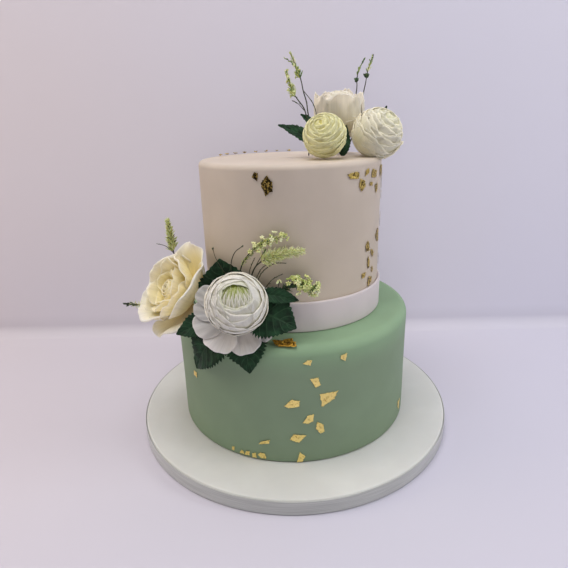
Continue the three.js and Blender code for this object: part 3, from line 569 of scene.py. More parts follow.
def scrap_on_top(place, lean, azimuth, size, turn, draw, crumple):
    """A scrap lying on a level face: leaned about X, then turned about the upright."""
    x, y, proud = torn_scrap(size[0], size[1], turn, draw, crumple)
    tip = math.radians(lean)
    round_z = math.radians(azimuth)
    over = y * math.cos(tip) - proud * math.sin(tip)
    up = y * math.sin(tip) + proud * math.cos(tip)
    return np.stack([place[0] + x * math.cos(round_z) - over * math.sin(round_z),
                     place[1] + x * math.sin(round_z) + over * math.cos(round_z), place[2] + up], axis=-1)


def gold_material(name, bright, dark, dark_share):
    """Beaten gold: bright metal with creases and darker flecks, by two sizes of noise. A larger share
    lets the flecks cover more."""
    material, tree, shader = start_material(name, Metallic=1.0)
    place = add_node(tree, "ShaderNodeTexCoord").outputs["Object"]
    flecks = add_node(tree, "ShaderNodeTexNoise", {"Vector": place, "Scale": 650.0, "Detail": 4.0,
                                                   "Roughness": 0.7})
    fleck = add_node(tree, "ShaderNodeMapRange", {"Value": flecks.outputs["Fac"],
                                                  "From Min": 0.62 - dark_share,
                                                  "From Max": 0.70 - dark_share})
    tint = add_node(tree, "ShaderNodeMix", {"Factor": fleck.outputs["Result"], "A": (*bright, 1),
                                            "B": (*dark, 1)}, data_type="RGBA")
    rough = add_node(tree, "ShaderNodeMapRange", {"Value": flecks.outputs["Fac"], "To Min": 0.28,
                                                  "To Max": 0.55})
    crease = add_node(tree, "ShaderNodeTexNoise", {"Vector": place, "Scale": 1500.0, "Detail": 3.0})
    bump = add_node(tree, "ShaderNodeBump", {"Strength": 0.5, "Distance": 0.0004,
                                             "Height": crease.outputs["Fac"]})
    tree.links.new(tint.outputs["Result"], shader.inputs["Base Color"])
    tree.links.new(rough.outputs["Result"], shader.inputs["Roughness"])
    tree.links.new(bump.outputs["Normal"], shader.inputs["Normal"])
    return material


# One gold leaf in four copies: the bright one, and three painted shade: darker for two upper scraps, dimmer
# for the rest of the upper tier, and browner for the ledge's rim, which lies in shadow
bright_gold = gold_material("bright_gold", (0.93, 0.74, 0.27), (0.50, 0.33, 0.08), 0.05)
shade_painted_gold = gold_material("painted_shade_gold", (0.40, 0.28, 0.08), (0.025, 0.018, 0.007), 0.19)
painted_dim_gold = gold_material("painted_dim_gold", (0.62, 0.46, 0.13), (0.06, 0.042, 0.014), 0.13)
painted_shadow_gold = gold_material("painted_shadow_gold", (0.70, 0.40, 0.06), (0.10, 0.06, 0.015), 0.10)

# On the lower tier: the scraps of the table, and a few more that fall round its back
draw = np.random.default_rng(11)
lower_leaf = wall_scraps(LOWER_RADIUS, 0, LOWER_SCRAPS, draw)
for share in np.linspace(0, 1, BACK_SCRAPS):
    size = draw.uniform(0.004, 0.009)
    lower_leaf.append(scrap_on_wall(LOWER_RADIUS, 0, 104 + 95 * share, 0.09 - 0.066 * share,
                                    (size, 0.8 * size), share, draw))
gold_leaf("lower_gold_leaf", lower_leaf, bright_gold)
# On the ledge's rim: two scraps in a browner, darker gold, painted shadow
rim_leaf = []
for right, back, lean, width, length, turn in RIM_SCRAPS:
    place = (RIM_PLACE[0] + right, RIM_PLACE[1] + back, RIM_PLACE[2])
    rim_leaf.append(scrap_on_top(place, RIM_LEAN + lean, RIM_AZIMUTH, (width, length), turn, draw,
                                 RIM_CRUMPLE))
gold_leaf("rim_gold_leaf", rim_leaf, painted_shadow_gold)

# On the upper tier: two scraps in a darker gold, painted shade, then the others, a few more down its
# right side, and flecks that lie along the far rim of its top, all in a dimmer gold, also painted shade
draw = np.random.default_rng(23)
upper_leaf = wall_scraps(UPPER_RADIUS, UPPER_SHIFT, UPPER_SCRAPS, draw)
gold_leaf("upper_shaded_leaf", upper_leaf[:2], shade_painted_gold)
upper_leaf = upper_leaf[2:]
for share in np.linspace(0.1, 0.9, SIDE_SCRAPS):
    size = draw.uniform(0.003, 0.007)
    upper_leaf.append(scrap_on_wall(UPPER_RADIUS, UPPER_SHIFT, 104 - 8 * share, 0.229 - 0.082 * share,
                                    (size, size), share, draw))
for number in range(FAR_FLECKS):
    azimuth = math.radians(FAR_FLECK_AZIMUTH - FAR_FLECK_STEP * number)
    reach = UPPER_RADIUS - UPPER_EDGE - draw.uniform(0.0035, 0.006)
    size = draw.uniform(0.0022, 0.0036)
    place = (UPPER_SHIFT + reach * math.sin(azimuth), -reach * math.cos(azimuth), UPPER_TOP)
    upper_leaf.append(scrap_on_top(place, 0, 0, (size, size), 0, draw, FAR_FLECK_CRUMPLE))
gold_leaf("upper_gold_leaf", upper_leaf, painted_dim_gold)

# The flowers' stems: short rods of green plastic over wire, pushed into the icing, which hold the heads
# a little over it.
STEM_SIDES = 10
STEM_RADIUS = 0.002
STEM_END_RADIUS = 0.0019


def spline_at(points, share):
    """A smooth curve through points, at shares of 0 to 1 counted evenly from point to point. Each span is
    a cubic whose ends run along the line between the points on either side. Gives places and directions."""
    points = np.asarray(points, float)
    spans = len(points) - 1
    step = np.clip(np.asarray(share, float), 0, 1) * spans
    first = np.minimum(step.astype(int), spans - 1)
    t = (step - first)[..., None]
    start, end = points[first], points[first + 1]
    leave = (end - points[np.maximum(first - 1, 0)]) / 2
    arrive = (points[np.minimum(first + 2, spans)] - start) / 2
    cube = 2 * start - 2 * end + leave + arrive
    square = -3 * start + 3 * end - 2 * leave - arrive
    place = cube * t ** 3 + square * t ** 2 + leave * t + start
    run = 3 * cube * t ** 2 + 2 * square * t + leave
    return place, run / np.linalg.norm(run, axis=-1, keepdims=True)


def cross_axes(run):
    """Two directions square to each given direction and to each other."""
    side = np.cross(run, [0.31, 0.52, 0.79])
    side /= np.linalg.norm(side, axis=-1, keepdims=True)
    return side, np.cross(run, side)


def tube(points, start_radius, end_radius, rings, sides=STEM_SIDES):
    """A circle carried along a smooth curve, its radius going evenly from one end to the other. The first
    and last rings are one point each. The result is 1 x rings x sides x 3."""
    share = np.linspace(0, 1, rings)
    place, run = spline_at(points, share)
    side, over = cross_axes(run)
    turn = np.linspace(0, 2 * math.pi, sides, endpoint=False)[None, :, None]
    size = (start_radius + (end_radius - start_radius) * share)[:, None, None]
    body = place[:, None] + size * (np.cos(turn) * side[:, None] + np.sin(turn) * over[:, None])
    start = np.broadcast_to(place[:1, None], body[:1].shape)
    end = np.broadcast_to(place[-1:, None], body[:1].shape)
    return np.concatenate([start, body, end])[None]


def closed_bodies(groups):
    """Points and faces of closed bodies given in groups, each bodies x rings x sides x 3, whose first and
    last rings are one point each: bands of four-sided faces between, and a fan of triangles at each end."""
    points, faces = [], []
    first = 0
    for bodies in groups:
        count, rings, sides = bodies.shape[:3]
        around = np.arange(sides)
        after = np.roll(around, -1)
        last = 1 + (rings - 3) * sides
        wall = grid_faces(rings - 2, sides, wrap=True, first=1)
        start = np.stack([0 * around, 1 + after, 1 + around], axis=-1)
        end = np.stack([0 * around + last + sides, last + around, last + after], axis=-1)
        middle = bodies[:, 1:-1].reshape(count, -1, 3)
        own = np.concatenate([bodies[:, :1, 0], middle, bodies[:, -1:, 0]], axis=1)
        begins = first + own.shape[1] * np.arange(count)[:, None, None]
        points.append(own.reshape(-1, 3))
        faces += [(part[None] + begins).reshape(-1, part.shape[1]) for part in (wall, start, end)]
        first += count * own.shape[1]
    return np.concatenate(points), faces


def stem_material(name, dark, light):
    """Plastic over wire: brown and green patches, and a slight gloss."""
    material, tree, shader = start_material(name, Roughness=0.5)
    place = add_node(tree, "ShaderNodeTexCoord").outputs["Object"]
    patch = add_node(tree, "ShaderNodeTexNoise", {"Vector": place, "Scale": 260.0, "Detail": 3.0})
    tint = add_node(tree, "ShaderNodeMix", {"Factor": patch.outputs["Fac"], "A": (*dark, 1),
                                            "B": (*light, 1)}, data_type="RGBA")
    bump = add_node(tree, "ShaderNodeBump", {"Strength": 0.4, "Distance": 0.0002,
                                             "Height": patch.outputs["Fac"]})
    tree.links.new(tint.outputs["Result"], shader.inputs["Base Color"])
    tree.links.new(bump.outputs["Normal"], shader.inputs["Normal"])
    return material


green_stem = stem_material("green_stem", (0.03, 0.04, 0.015), (0.14, 0.19, 0.07))
FLOWER_STEMS = {
    "front_white_stem": [(-0.040, -0.083, 0.1145), (-0.0403, -0.0826, 0.124), (-0.0405, -0.0832, 0.134)],
    "rose_stem": [(-0.080, -0.042, 0.1145), (-0.0815, -0.043, 0.121), (-0.0835, -0.044, 0.128)],
    "top_rear_stem": [(0.044, 0.020, 0.239), (0.0443, 0.0196, 0.243), (0.0445, 0.0192, 0.247)],
}
for name, line in FLOWER_STEMS.items():
    points, faces = closed_bodies([tube(line, STEM_RADIUS, STEM_END_RADIUS, 8)])
    rod = mesh_object(name + "_rod", points, faces, green_stem)
    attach(rod, "root")
    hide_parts(name)

# The leaves: dark green printed cloth on a wire midrib, pressed with veins and cut with saw teeth. Each
# is pushed into the icing by its wire, between the flowers.
# A midrib's three points, a leaf's width and its wave are in millimetres. The fold is a slope.
LEAF_ROWS_A_TOOTH = 4
LEAF_COLUMNS = 17
LEAF_FOOT = 0.04
LEAF_OVAL = 0.8
LEAF_STALK = 0.0004
TOOTH_LOW = 0.88
TOOTH_STEP = 0.20
JUST_UNDER_ONE = 0.9999
LEAF_VEINS = 7.0
LEAF_THICKNESS = 0.0004
LEAF_DARK = (0.004, 0.017, 0.007, 1)
LEAF_GREEN = (0.015, 0.060, 0.024, 1)
LEAF_VEIN_GREEN = (0.055, 0.12, 0.06, 1)
VEIN_SLANT = 1.7
VEIN_HEIGHT = 0.0004
VEIN_WIDTH = 0.14
RIB_WIDTH = 0.08
CRIMP_HEIGHT = 0.0005
LEAVES = {
    "front_leaf_1": dict(midrib=[(-47, -66, 132), (-50, -69, 152), (-53, -68, 171)],
                         facing=(-0.25, -1, 0.25), width=45, fold=0.15, wave=0.8, teeth=15),
    "front_leaf_2": dict(midrib=[(-57, -86, 128), (-70, -92, 129), (-85, -92, 121)],
                         facing=(-0.3, -0.9, 0.4), width=19, fold=0.2, wave=0.6, teeth=12),
    "front_leaf_3": dict(midrib=[(-48, -84, 124), (-68, -92, 113), (-76, -75.5, 83)],
                         facing=(-0.6, -0.75, 0.25), width=36, fold=0.12, wave=0.8, teeth=17),
    "front_leaf_4": dict(midrib=[(-35.5, -88, 116.5), (-34, -104, 116), (-31.5, -103.5, 94)],
                         facing=(-0.17, -0.5, 0.85), width=30, fold=0.12, wave=0.8, teeth=14),
    "front_leaf_5": dict(midrib=[(-30, -87, 139), (-14, -95, 136), (3, -97, 126)],
                         facing=(0.15, -0.9, 0.45), width=35, fold=0.12, wave=0.8, teeth=16),
    "front_leaf_6": dict(midrib=[(-22, -89, 150), (-9, -92, 150), (5, -91, 145)],
                         facing=(0.1, -0.85, 0.5), width=11, fold=0.25, wave=0.5, teeth=10),
    "top_leaf_1": dict(midrib=[(22, -15, 250), (9, -14, 258), (-7.6, -12, 263.5)],
                       facing=(-0.2, -0.7, 0.7), width=11, fold=0.2, wave=0.4, teeth=10),
    "top_leaf_2": dict(midrib=[(21, -8, 262), (16, -7, 268), (10.5, -6, 271)],
                       facing=(-0.2, -0.7, 0.7), width=5, fold=0.2, wave=0.2, teeth=6),
    "top_leaf_3": dict(midrib=[(62, 14, 246), (77, 14, 262), (83, 15, 276)],
                       facing=(0.7, -0.5, 0.5), width=11, fold=0.2, wave=0.4, teeth=10),
    "top_leaf_4": dict(midrib=[(43, -19, 239), (44.5, -16, 250), (46, -15, 262)],
                       facing=(-0.1, -1, 0.4), width=9, fold=0.15, wave=0.4, teeth=9),
}


def leaf_sheet(midrib, facing, width, fold, wave, teeth):
    """A leaf: its midrib is a three-point curve, its half width is an oval along it times a saw tooth at
    the edge, its sides are folded up and waved, a bell-shaped ridge stands along each side vein, and a
    groove of the same shape runs along the midrib."""
    base, bend, tip = (np.array(p) / 1000 for p in midrib)
    along = np.linspace(0, 1, teeth * LEAF_ROWS_A_TOOTH + 1)[:, None]
    across = np.linspace(-1, 1, LEAF_COLUMNS)[None, :]
    place = (1 - along) ** 2 * base + 2 * along * (1 - along) * bend + along ** 2 * tip
    run = 2 * (1 - along) * (bend - base) + 2 * along * (tip - bend)
    run /= np.linalg.norm(run, axis=1, keepdims=True)
    sideways = np.cross(run, np.array(facing) / np.linalg.norm(facing))
    sideways /= np.linalg.norm(sideways, axis=1, keepdims=True)
    normal = np.cross(sideways, run)
    oval = np.sin(math.pi * (LEAF_FOOT + (1 - LEAF_FOOT) * along) ** LEAF_OVAL)
    saw = TOOTH_LOW + TOOTH_STEP * (along * teeth - np.floor(along * teeth * JUST_UNDER_ONE))
    edge = np.abs(across) ** 6
    half = LEAF_STALK + width / 2000 * oval * (1 - edge + edge * saw)
    vein = np.abs((along * LEAF_VEINS - np.abs(across) * VEIN_SLANT) % 1 - 0.5)
    groove = VEIN_HEIGHT * np.exp(-(across / RIB_WIDTH) ** 2)
    ridge = VEIN_HEIGHT * np.exp(-(vein / VEIN_WIDTH) ** 2) - groove
    crimp = CRIMP_HEIGHT * np.sin(along * 19 + 2 * across) * np.abs(across) ** 2
    lift = fold * np.abs(across) * half + wave / 1000 * across * np.sin(7 * along)
    lift = lift + (ridge + crimp) * np.minimum(1, 3 * oval)
    out = (across * half)[..., None]
    return place[:, None] + out * sideways[:, None] + lift[..., None] * normal[:, None]


def sheets_object(name, sheets, material, thickness, tones=None):
    """Joins open sheets, each rows x columns x 3, into one piece with u across and v along every sheet,
    and gives the whole a thickness. tones has one number for each sheet."""
    points, faces, uv, tone = [], [], [], []
    first = 0
    for number, sheet in enumerate(sheets):
        rows, columns = sheet.shape[:2]
        points.append(sheet.reshape(-1, 3))
        faces.append(grid_faces(rows, columns, first=first))
        v, u = np.meshgrid(np.linspace(0, 1, rows), np.linspace(0, 1, columns), indexing="ij")
        uv.append(np.stack([u, v], axis=-1).reshape(-1, 2))
        tone.append(np.full(rows * columns, tones[number] if tones is not None else 0.0))
        first += rows * columns
    piece = mesh_object(name, np.concatenate(points), faces, material, np.concatenate(uv),
                        np.concatenate(tone))
    skin = piece.modifiers.new("thickness", "SOLIDIFY")
    skin.thickness = thickness
    skin.offset = 0
    return piece


def vein_group():
    """Leaf veins from the piece's own map: a midrib where u is one half, and side veins that slant from it
    towards the tip. The mask is 1 on a vein, and the height is a groove along it."""
    group = bpy.data.node_groups.new("leaf_veins", "ShaderNodeTree")
    for name, value in (("Count", LEAF_VEINS), ("Slant", VEIN_SLANT), ("Sharpness", 9.0)):
        socket = group.interface.new_socket(name, in_out="INPUT", socket_type="NodeSocketFloat")
        socket.default_value = value
    for name in ("Mask", "Height"):
        group.interface.new_socket(name, in_out="OUTPUT", socket_type="NodeSocketFloat")
    given = add_node(group, "NodeGroupInput").outputs
    place = add_node(group, "ShaderNodeUVMap", uv_map="UVMap").outputs["UV"]
    split = add_node(group, "ShaderNodeSeparateXYZ", {"Vector": place}).outputs

    def worked(operation, a, b=0.0):
        """One step of arithmetic on two values, each a number or another node's output."""
        return add_node(group, "ShaderNodeMath", {0: a, 1: b}, operation=operation).outputs[0]

    out = worked("MULTIPLY", worked("ABSOLUTE", worked("SUBTRACT", split["X"], 0.5)), 2.0)
    counted = worked("MULTIPLY", split["Y"], given["Count"])
    slanted = worked("SUBTRACT", counted, worked("MULTIPLY", out, given["Slant"]))
    near = worked("ABSOLUTE", worked("SUBTRACT", worked("FRACT", slanted), 0.5))
    side = worked("SUBTRACT", 1.0, worked("MULTIPLY", near, given["Sharpness"]))
    rib = worked("SUBTRACT", 1.0, worked("MULTIPLY", out, 14.0))
    mask = worked("MAXIMUM", worked("MAXIMUM", side, rib), 0.0)
    add_node(group, "NodeGroupOutput", {"Mask": mask, "Height": worked("MULTIPLY", mask, -1.0)})
    return group


VEIN_GROUP = vein_group()


def leaf_cloth():
    """Printed cloth: two dark greens in patches, paler veins and a fine weave, with a dull shine."""
    material, tree, shader = start_material("leaf_cloth", Roughness=0.55, Specular_IOR_Level=0.18)
    place = add_node(tree, "ShaderNodeTexCoord").outputs["Object"]
    patch = add_node(tree, "ShaderNodeTexNoise", {"Vector": place, "Scale": 190.0, "Detail": 4.0})
    strong = add_node(tree, "ShaderNodeMapRange", {"Value": patch.outputs["Fac"], "From Min": 0.35,
                                                   "From Max": 0.7})
    weave = add_node(tree, "ShaderNodeTexNoise", {"Vector": place, "Scale": 3200.0, "Detail": 1.0})
    ground = add_node(tree, "ShaderNodeMix", {"Factor": strong.outputs["Result"], "A": LEAF_DARK,
                                              "B": LEAF_GREEN}, data_type="RGBA")
    veins = add_node(tree, "ShaderNodeGroup", node_tree=VEIN_GROUP)
    faint = add_node(tree, "ShaderNodeMath", {0: veins.outputs["Mask"], 1: 0.4}, operation="MULTIPLY")
    tint = add_node(tree, "ShaderNodeMix", {"Factor": faint.outputs[0], "A": ground.outputs["Result"],
                                            "B": LEAF_VEIN_GREEN}, data_type="RGBA")
    both = add_node(tree, "ShaderNodeMath", {0: veins.outputs["Height"], 1: 1.5, 2: weave.outputs["Fac"]},
                    operation="MULTIPLY_ADD")
    bump = add_node(tree, "ShaderNodeBump", {"Strength": 0.5, "Distance": 0.0003,
                                             "Height": both.outputs[0]})
    tree.links.new(tint.outputs["Result"], shader.inputs["Base Color"])
    tree.links.new(bump.outputs["Normal"], shader.inputs["Normal"])
    return material


leaf_green = leaf_cloth()
for name, shape in LEAVES.items():
    leaf = sheets_object(name + "_cloth", [leaf_sheet(**shape)], leaf_green, LEAF_THICKNESS)
    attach(leaf, "root")
    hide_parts(name)

# The white ranunculus at the front: thin cloth petals wrapped into a ball round a yellow green heart,
# over a collar of eight open petals. It is cut, heat formed and glued petal by petal. Its lengths, and
# those of the other flowers, are in millimetres in the flower's own frame.
PETAL_THICKNESS = 0.00035
PETAL_FOOT = 0.62
PETAL_CORNER = 0.38
PETAL_CORNER_POWER = 2.6
PETAL_SCATTER = (1.0, 0.85, 0.7)
BALL_LAP = 0.25
RING_STAGGER = 2.0


def flower_frame(base, axis, up=(0, 0, 1)):
    """A flower's own frame: its base, given in millimetres and kept in metres, and the directions right,
    over and out, where out is its axis."""
    out = np.array(axis, float) / np.linalg.norm(axis)
    right = np.cross(up, out)
    right /= np.linalg.norm(right)
    return np.array(base) / 1000, np.stack([right, np.cross(out, right), out])


def to_frame(place, local):
    """Points given in a flower's own frame, in millimetres, to metres in the cake's frame."""
    base, axes = place
    return base + local / 1000 @ axes


def petal_sheet(place, layer, angle, spread, reach, rows=24, columns=25):
    """A strip of a turned profile, like a piece of a bowl's wall, round the angle and as far as spread on
    either side. Its corners are rounded off by a power of the way across and its rim is cut by a product
    of two waves. Its distance from the profile is the sum of a slope round the flower, so that neighbours
    lap, a ruffle that goes round the flower, and flutes that run along the petal and deepen to its rim.
    Over the last share of its length it rolls outwards on a small circle, by an uneven angle."""
    across = np.linspace(-1, 1, columns)[None, :]
    along = np.linspace(0, 1, rows)[:, None]
    rolled = layer.get("rolled", 0.0)
    plain = np.minimum(along / (1 - rolled), 1)
    tip = 1 - layer.get("corner", PETAL_CORNER) * np.abs(across) ** PETAL_CORNER_POWER
    own = math.radians(7 * angle)
    cut = np.sin(5.5 * across + own) * np.abs(np.cos(9 * across + own))
    tip = tip * (1 + layer["jagged"] * cut)
    share = plain * tip * reach
    at, run = spline_at(layer["profile"], share)
    turn = math.radians(spread) * across * (PETAL_FOOT + (1 - PETAL_FOOT) * np.sin(math.pi / 2 * plain))
    round_angle = math.radians(angle) + turn
    ruffle = layer["ruffle"] * np.sin(layer["waves"] * round_angle + own) * share ** 2
    flute = layer["flute"] * np.sin(layer.get("flutes", 13) * across + 2 * own + 3 * plain) * plain ** 3
    off = layer.get("offset", 0.0) + layer["climb"] * turn + ruffle + flute
    ahead = 0.0
    if rolled:
        strength = 0.6 + 0.4 * np.sin(3.1 * across + own)
        curl = layer["curl"] * np.maximum(0, (along - 1 + rolled) / rolled) * strength
        size = layer["roll"] * (1 - 0.5 * np.abs(across) ** 3)
        off = off - size * (1 - np.cos(curl))
        ahead = size * np.sin(curl)
    reach_out = at[..., 0] - run[..., 1] * off + run[..., 0] * ahead
    height = at[..., 1] + run[..., 0] * off + run[..., 1] * ahead
    local = np.stack([reach_out * np.cos(round_angle), reach_out * np.sin(round_angle), height], axis=-1)
    return to_frame(place, local)


def ring(count, rim, start, lap=1.3, corner=12, power=2.4, tone=0.0):
    """Petals set evenly round a ball, each a row of six: azimuth, half width, rim angle and corner angle in
    degrees, the corner's power, and the tone. The rims lie farther and nearer by turns."""
    return [(start + 360 * k / count, 180 / count * lap, rim + RING_STAGGER * (-1) ** k,
             corner, power, tone) for k in range(count)]


def ball_sheets(place, radius, middle, petals, low=0.88, sink=0.06, span=42, frill=0.7, flare=0.3,
                crinkle=0.12, rows=12, columns=31):
    """Petals wrapped on a ball, each over the one before. Azimuth goes round the flower's axis and the
    polar angle is 0 at the axis: the rim lies at the rim angle, plus the corner's angle towards both sides,
    plus a frill of two waves. The foot lies span degrees farther and sinks a little. One side laps over the
    next petal, and the rim flares off the ball and is crinkled by a finer wave. Gives the sheets and their
    tones."""
    across = np.linspace(-1, 1, columns)[None, :]
    along = np.linspace(0, 1, rows)[:, None]
    sheets, tones = [], []
    for number, (azimuth, half, rim, corner, power, tone) in enumerate(petals):
        own = 2.4 * number
        turned = math.radians(azimuth) + math.radians(half) * across * (0.75 + 0.25 * along)
        edge = rim + corner * np.abs(across) ** power
        edge = edge + frill * (np.sin(7 * across + own) + 0.5 * np.sin(17 * across + 2.1 * own))
        polar = np.radians(edge + (1 - along) * span)
        level = low + (1 - low) * (number + 1) / len(petals)
        size = radius * level * (1 - sink * (1 - along)) + BALL_LAP * across + flare * along ** 8
        size = size + crinkle * np.sin(13 * across + own) * along ** 3
        reach = size * np.sin(polar)
        local = np.stack([reach * np.cos(turned), reach * np.sin(turned), middle + size * np.cos(polar)],
                         axis=-1)
        sheets.append(to_frame(place, local))
        tones.append(tone)
    return sheets, tones


def core_sheet(place, radius, middle, rows=16, columns=25):
    """The hidden ball inside a head, a sheet that goes from pole to pole and round to its own start."""
    polar = np.linspace(0.02, math.pi - 0.02, rows)[:, None]
    azimuth = np.linspace(0, 2 * math.pi, columns)[None, :]
    reach = radius * np.sin(polar)
    height = middle + radius * np.cos(polar) * np.ones_like(azimuth)
    local = np.stack([reach * np.cos(azimuth), reach * np.sin(azimuth), height], axis=-1)
    return to_frame(place, local)


def petal_cloth(name, rim, body, foot, heart, veins=0.1, tip_share=0.25):
    """Thin cloth: its colour runs from foot to body to rim along each petal, and towards the heart colour
    by the petal's tone, less so at the rim. Fine veins run along it, as streaks of noise drawn out on the
    petal's own map."""
    material, tree, shader = start_material(name, Roughness=0.72, Subsurface_Weight=0.45,
                                            Subsurface_Scale=0.005, Subsurface_Radius=PETAL_SCATTER,
                                            Sheen_Weight=0.15)
    place = add_node(tree, "ShaderNodeUVMap", uv_map="UVMap").outputs["UV"]
    along = add_node(tree, "ShaderNodeSeparateXYZ", {"Vector": place}).outputs["Y"]
    ramp = add_node(tree, "ShaderNodeValToRGB", {"Fac": along})
    ramp.color_ramp.elements[0].color = (*foot, 1)
    ramp.color_ramp.elements[0].position = 0.15
    ramp.color_ramp.elements[1].color = (*rim, 1)
    ramp.color_ramp.elements[1].position = 0.95
    ramp.color_ramp.elements.new(0.6).color = (*body, 1)
    tone = add_node(tree, "ShaderNodeAttribute", attribute_name="tone").outputs["Fac"]
    kept = add_node(tree, "ShaderNodeMapRange", {"Value": along, "From Min": 0.55, "From Max": 0.98,
                                                 "To Min": 1.0, "To Max": tip_share})
    share = add_node(tree, "ShaderNodeMath", {0: tone, 1: kept.outputs["Result"]}, operation="MULTIPLY")
    warm = add_node(tree, "ShaderNodeMix", {"Factor": share.outputs[0], "A": ramp.outputs["Color"],
                                            "B": (*heart, 1)}, data_type="RGBA")
    drawn = add_node(tree, "ShaderNodeMapping", {"Vector": place, "Scale": (34, 1.6, 1)})
    streak = add_node(tree, "ShaderNodeTexNoise", {"Vector": drawn.outputs["Vector"], "Scale": 1.0,
                                                   "Detail": 3.0}).outputs["Fac"]
    shade = add_node(tree, "ShaderNodeMapRange", {"Value": streak, "From Min": 0.3, "From Max": 0.7,
                                                  "To Min": 1 - veins, "To Max": 1.0})
    veined = add_node(tree, "ShaderNodeMix", {"Factor": 1.0, "A": warm.outputs["Result"],
                                              "B": shade.outputs["Result"]}, data_type="RGBA",
                      blend_type="MULTIPLY")
    bump = add_node(tree, "ShaderNodeBump", {"Strength": 0.25, "Distance": 0.0003, "Height": streak})
    tree.links.new(veined.outputs["Result"], shader.inputs["Base Color"])
    tree.links.new(bump.outputs["Normal"], shader.inputs["Normal"])
    return material


white_cloth = petal_cloth("white_cloth", rim=(0.86, 0.82, 0.71), body=(0.88, 0.84, 0.68),
                          foot=(0.76, 0.74, 0.42), heart=(0.38, 0.45, 0.04), veins=0.08, tip_share=0.8)
# The collar cloth's heart colour is a grey, painted shade that each petal's tone lays on it, most on the
# left petals nearest the rose; its darker foot is painted shade under the ball
collar_cloth = petal_cloth("collar_cloth", rim=(0.84, 0.78, 0.74), body=(0.80, 0.73, 0.69),
                           foot=(0.62, 0.56, 0.48), heart=(0.42, 0.41, 0.40), veins=0.12, tip_share=1.0)
FRONT_WHITE = flower_frame((-40.6, -84, 135), (0.1, -0.8, 0.57))
FRONT_WHITE_RADIUS = 21.8
FRONT_WHITE_MIDDLE = 23.3
FRONT_CORE_SHARE = 0.84
HEART_SHARE = 0.93
HEART_TIP = math.radians(50)
HEART_FROM = -127
HEART_TO = -53


def blade_row(count, rim, tone, draw):
    """Narrow pointed petals side by side over the heart's azimuths, each a row of six as ring gives them.
    Each is up to 1.6 times as wide as its share of them."""
    azimuths = np.linspace(HEART_FROM, HEART_TO, count) + draw.uniform(-2, 2, count)
    rims = rim + draw.uniform(-4.5, 4.5, count)
    halves = (HEART_TO - HEART_FROM) / 2 / count * draw.uniform(1.0, 1.6, count)
    return [(azimuth, half, edge, 24, 1.0, tone) for azimuth, half, edge in zip(azimuths, halves, rims)]


draw = np.random.default_rng(5)
FRONT_HEART_PETALS = (blade_row(7, 24, 1.0, draw) + blade_row(8, 31, 0.9, draw)
                      + blade_row(8, 38, 0.45, draw) + blade_row(9, 45, 0.1, draw))
FRONT_BALL_PETALS = [(90, 75, 24, 10, 2.4, 0.3), (-90, 70, 22, 6, 2.4, 0.3), (0, 60, 27, 10, 2.4, 0.3),
                     (180, 60, 27, 10, 2.4, 0.4), (-80, 75, 25, 9, 2.4, 0.1), (110, 60, 30, 12, 2.4, 0.1),
                     (195, 55, 30, 12, 2.2, 0.1), (15, 62, 30, 12, 2.4, 0.0), (-110, 62, 33, 12, 2.4, 0.0),
                     (170, 50, 37, 13, 2.2, 0.0), (80, 60, 38, 12, 2.4, 0.0), (215, 50, 43, 13, 2.2, 0.0),
                     (-60, 60, 46, 12, 2.4, 0.0), (150, 48, 49, 14, 2.2, 0.0), (190, 46, 55, 14, 2.2, 0.0),
                     (30, 55, 50, 14, 2.4, 0.0), (-120, 52, 58, 14, 2.4, 0.0), (165, 44, 62, 14, 2.2, 0.0),
                     (205, 44, 68, 14, 2.2, 0.0), (100, 52, 62, 14, 2.4, 0.0), (-30, 55, 64, 14, 2.4, 0.0),
                     (180, 42, 75, 14, 2.2, 0.0), (-90, 55, 74, 12, 2.4, 0.0), (60, 50, 76, 14, 2.4, 0.0),
                     (140, 46, 82, 14, 2.2, 0.0), (225, 46, 84, 14, 2.2, 0.0), (-50, 52, 88, 12, 2.4, 0.0),
                     (10, 52, 90, 12, 2.4, 0.0)]
COLLAR = dict(profile=[(4.5, 0), (13, 0), (24, 1.6), (34, 5)], climb=2.2, ruffle=0.5, waves=9, flute=0.5,
              jagged=0.02)
# Each collar petal: its angle and its half spread in degrees, its share of the full length, its tone,
# the share of the collar cloth's grey, painted shade
COLLAR_PETALS = [(20, 30, 0.84, 0.2), (318, 34, 0.92, 0.2), (281, 32, 0.97, 0.0), (237, 32, 1, 0.0),
                 (203, 27, 0.98, 0.6), (176, 23, 0.88, 0.8), (150, 23, 0.92, 0.8), (122, 25, 0.8, 0.8)]


def tipped_frame(place, middle, angle):
    """The same flower's frame turned about its right-hand direction, round the point middle up its axis."""
    base, axes = place
    right, over, out = axes
    new_out = math.cos(angle) * out + math.sin(angle) * over
    new_over = np.cross(new_out, right)
    return base + middle / 1000 * (out - new_out), np.stack([right, new_over, new_out])


heart_frame = tipped_frame(FRONT_WHITE, FRONT_WHITE_MIDDLE, HEART_TIP)
heart_sheets, heart_tones = ball_sheets(heart_frame, FRONT_WHITE_RADIUS * HEART_SHARE, FRONT_WHITE_MIDDLE,
                                        FRONT_HEART_PETALS, low=0.92, span=30, frill=0.0, crinkle=0.0,
                                        columns=9)
wrapped_sheets, wrapped_tones = ball_sheets(FRONT_WHITE, FRONT_WHITE_RADIUS, FRONT_WHITE_MIDDLE,
                                            FRONT_BALL_PETALS, low=0.925)
front_core = core_sheet(FRONT_WHITE, FRONT_WHITE_RADIUS * FRONT_CORE_SHARE, FRONT_WHITE_MIDDLE)
front_ball = sheets_object("front_white_ball", heart_sheets + wrapped_sheets + [front_core], white_cloth,
                           PETAL_THICKNESS, heart_tones + wrapped_tones + [1.0])
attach(front_ball, "root")
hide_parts("front_white_head")
for number, (angle, spread, reach, shade) in enumerate(COLLAR_PETALS, start=1):
    sheet = petal_sheet(FRONT_WHITE, COLLAR, angle, spread, reach)
    petal = sheets_object(f"front_white_collar_{number}", [sheet], collar_cloth, PETAL_THICKNESS, [shade])
    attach(petal, "root")
    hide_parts(f"front_white_petal_{number}")

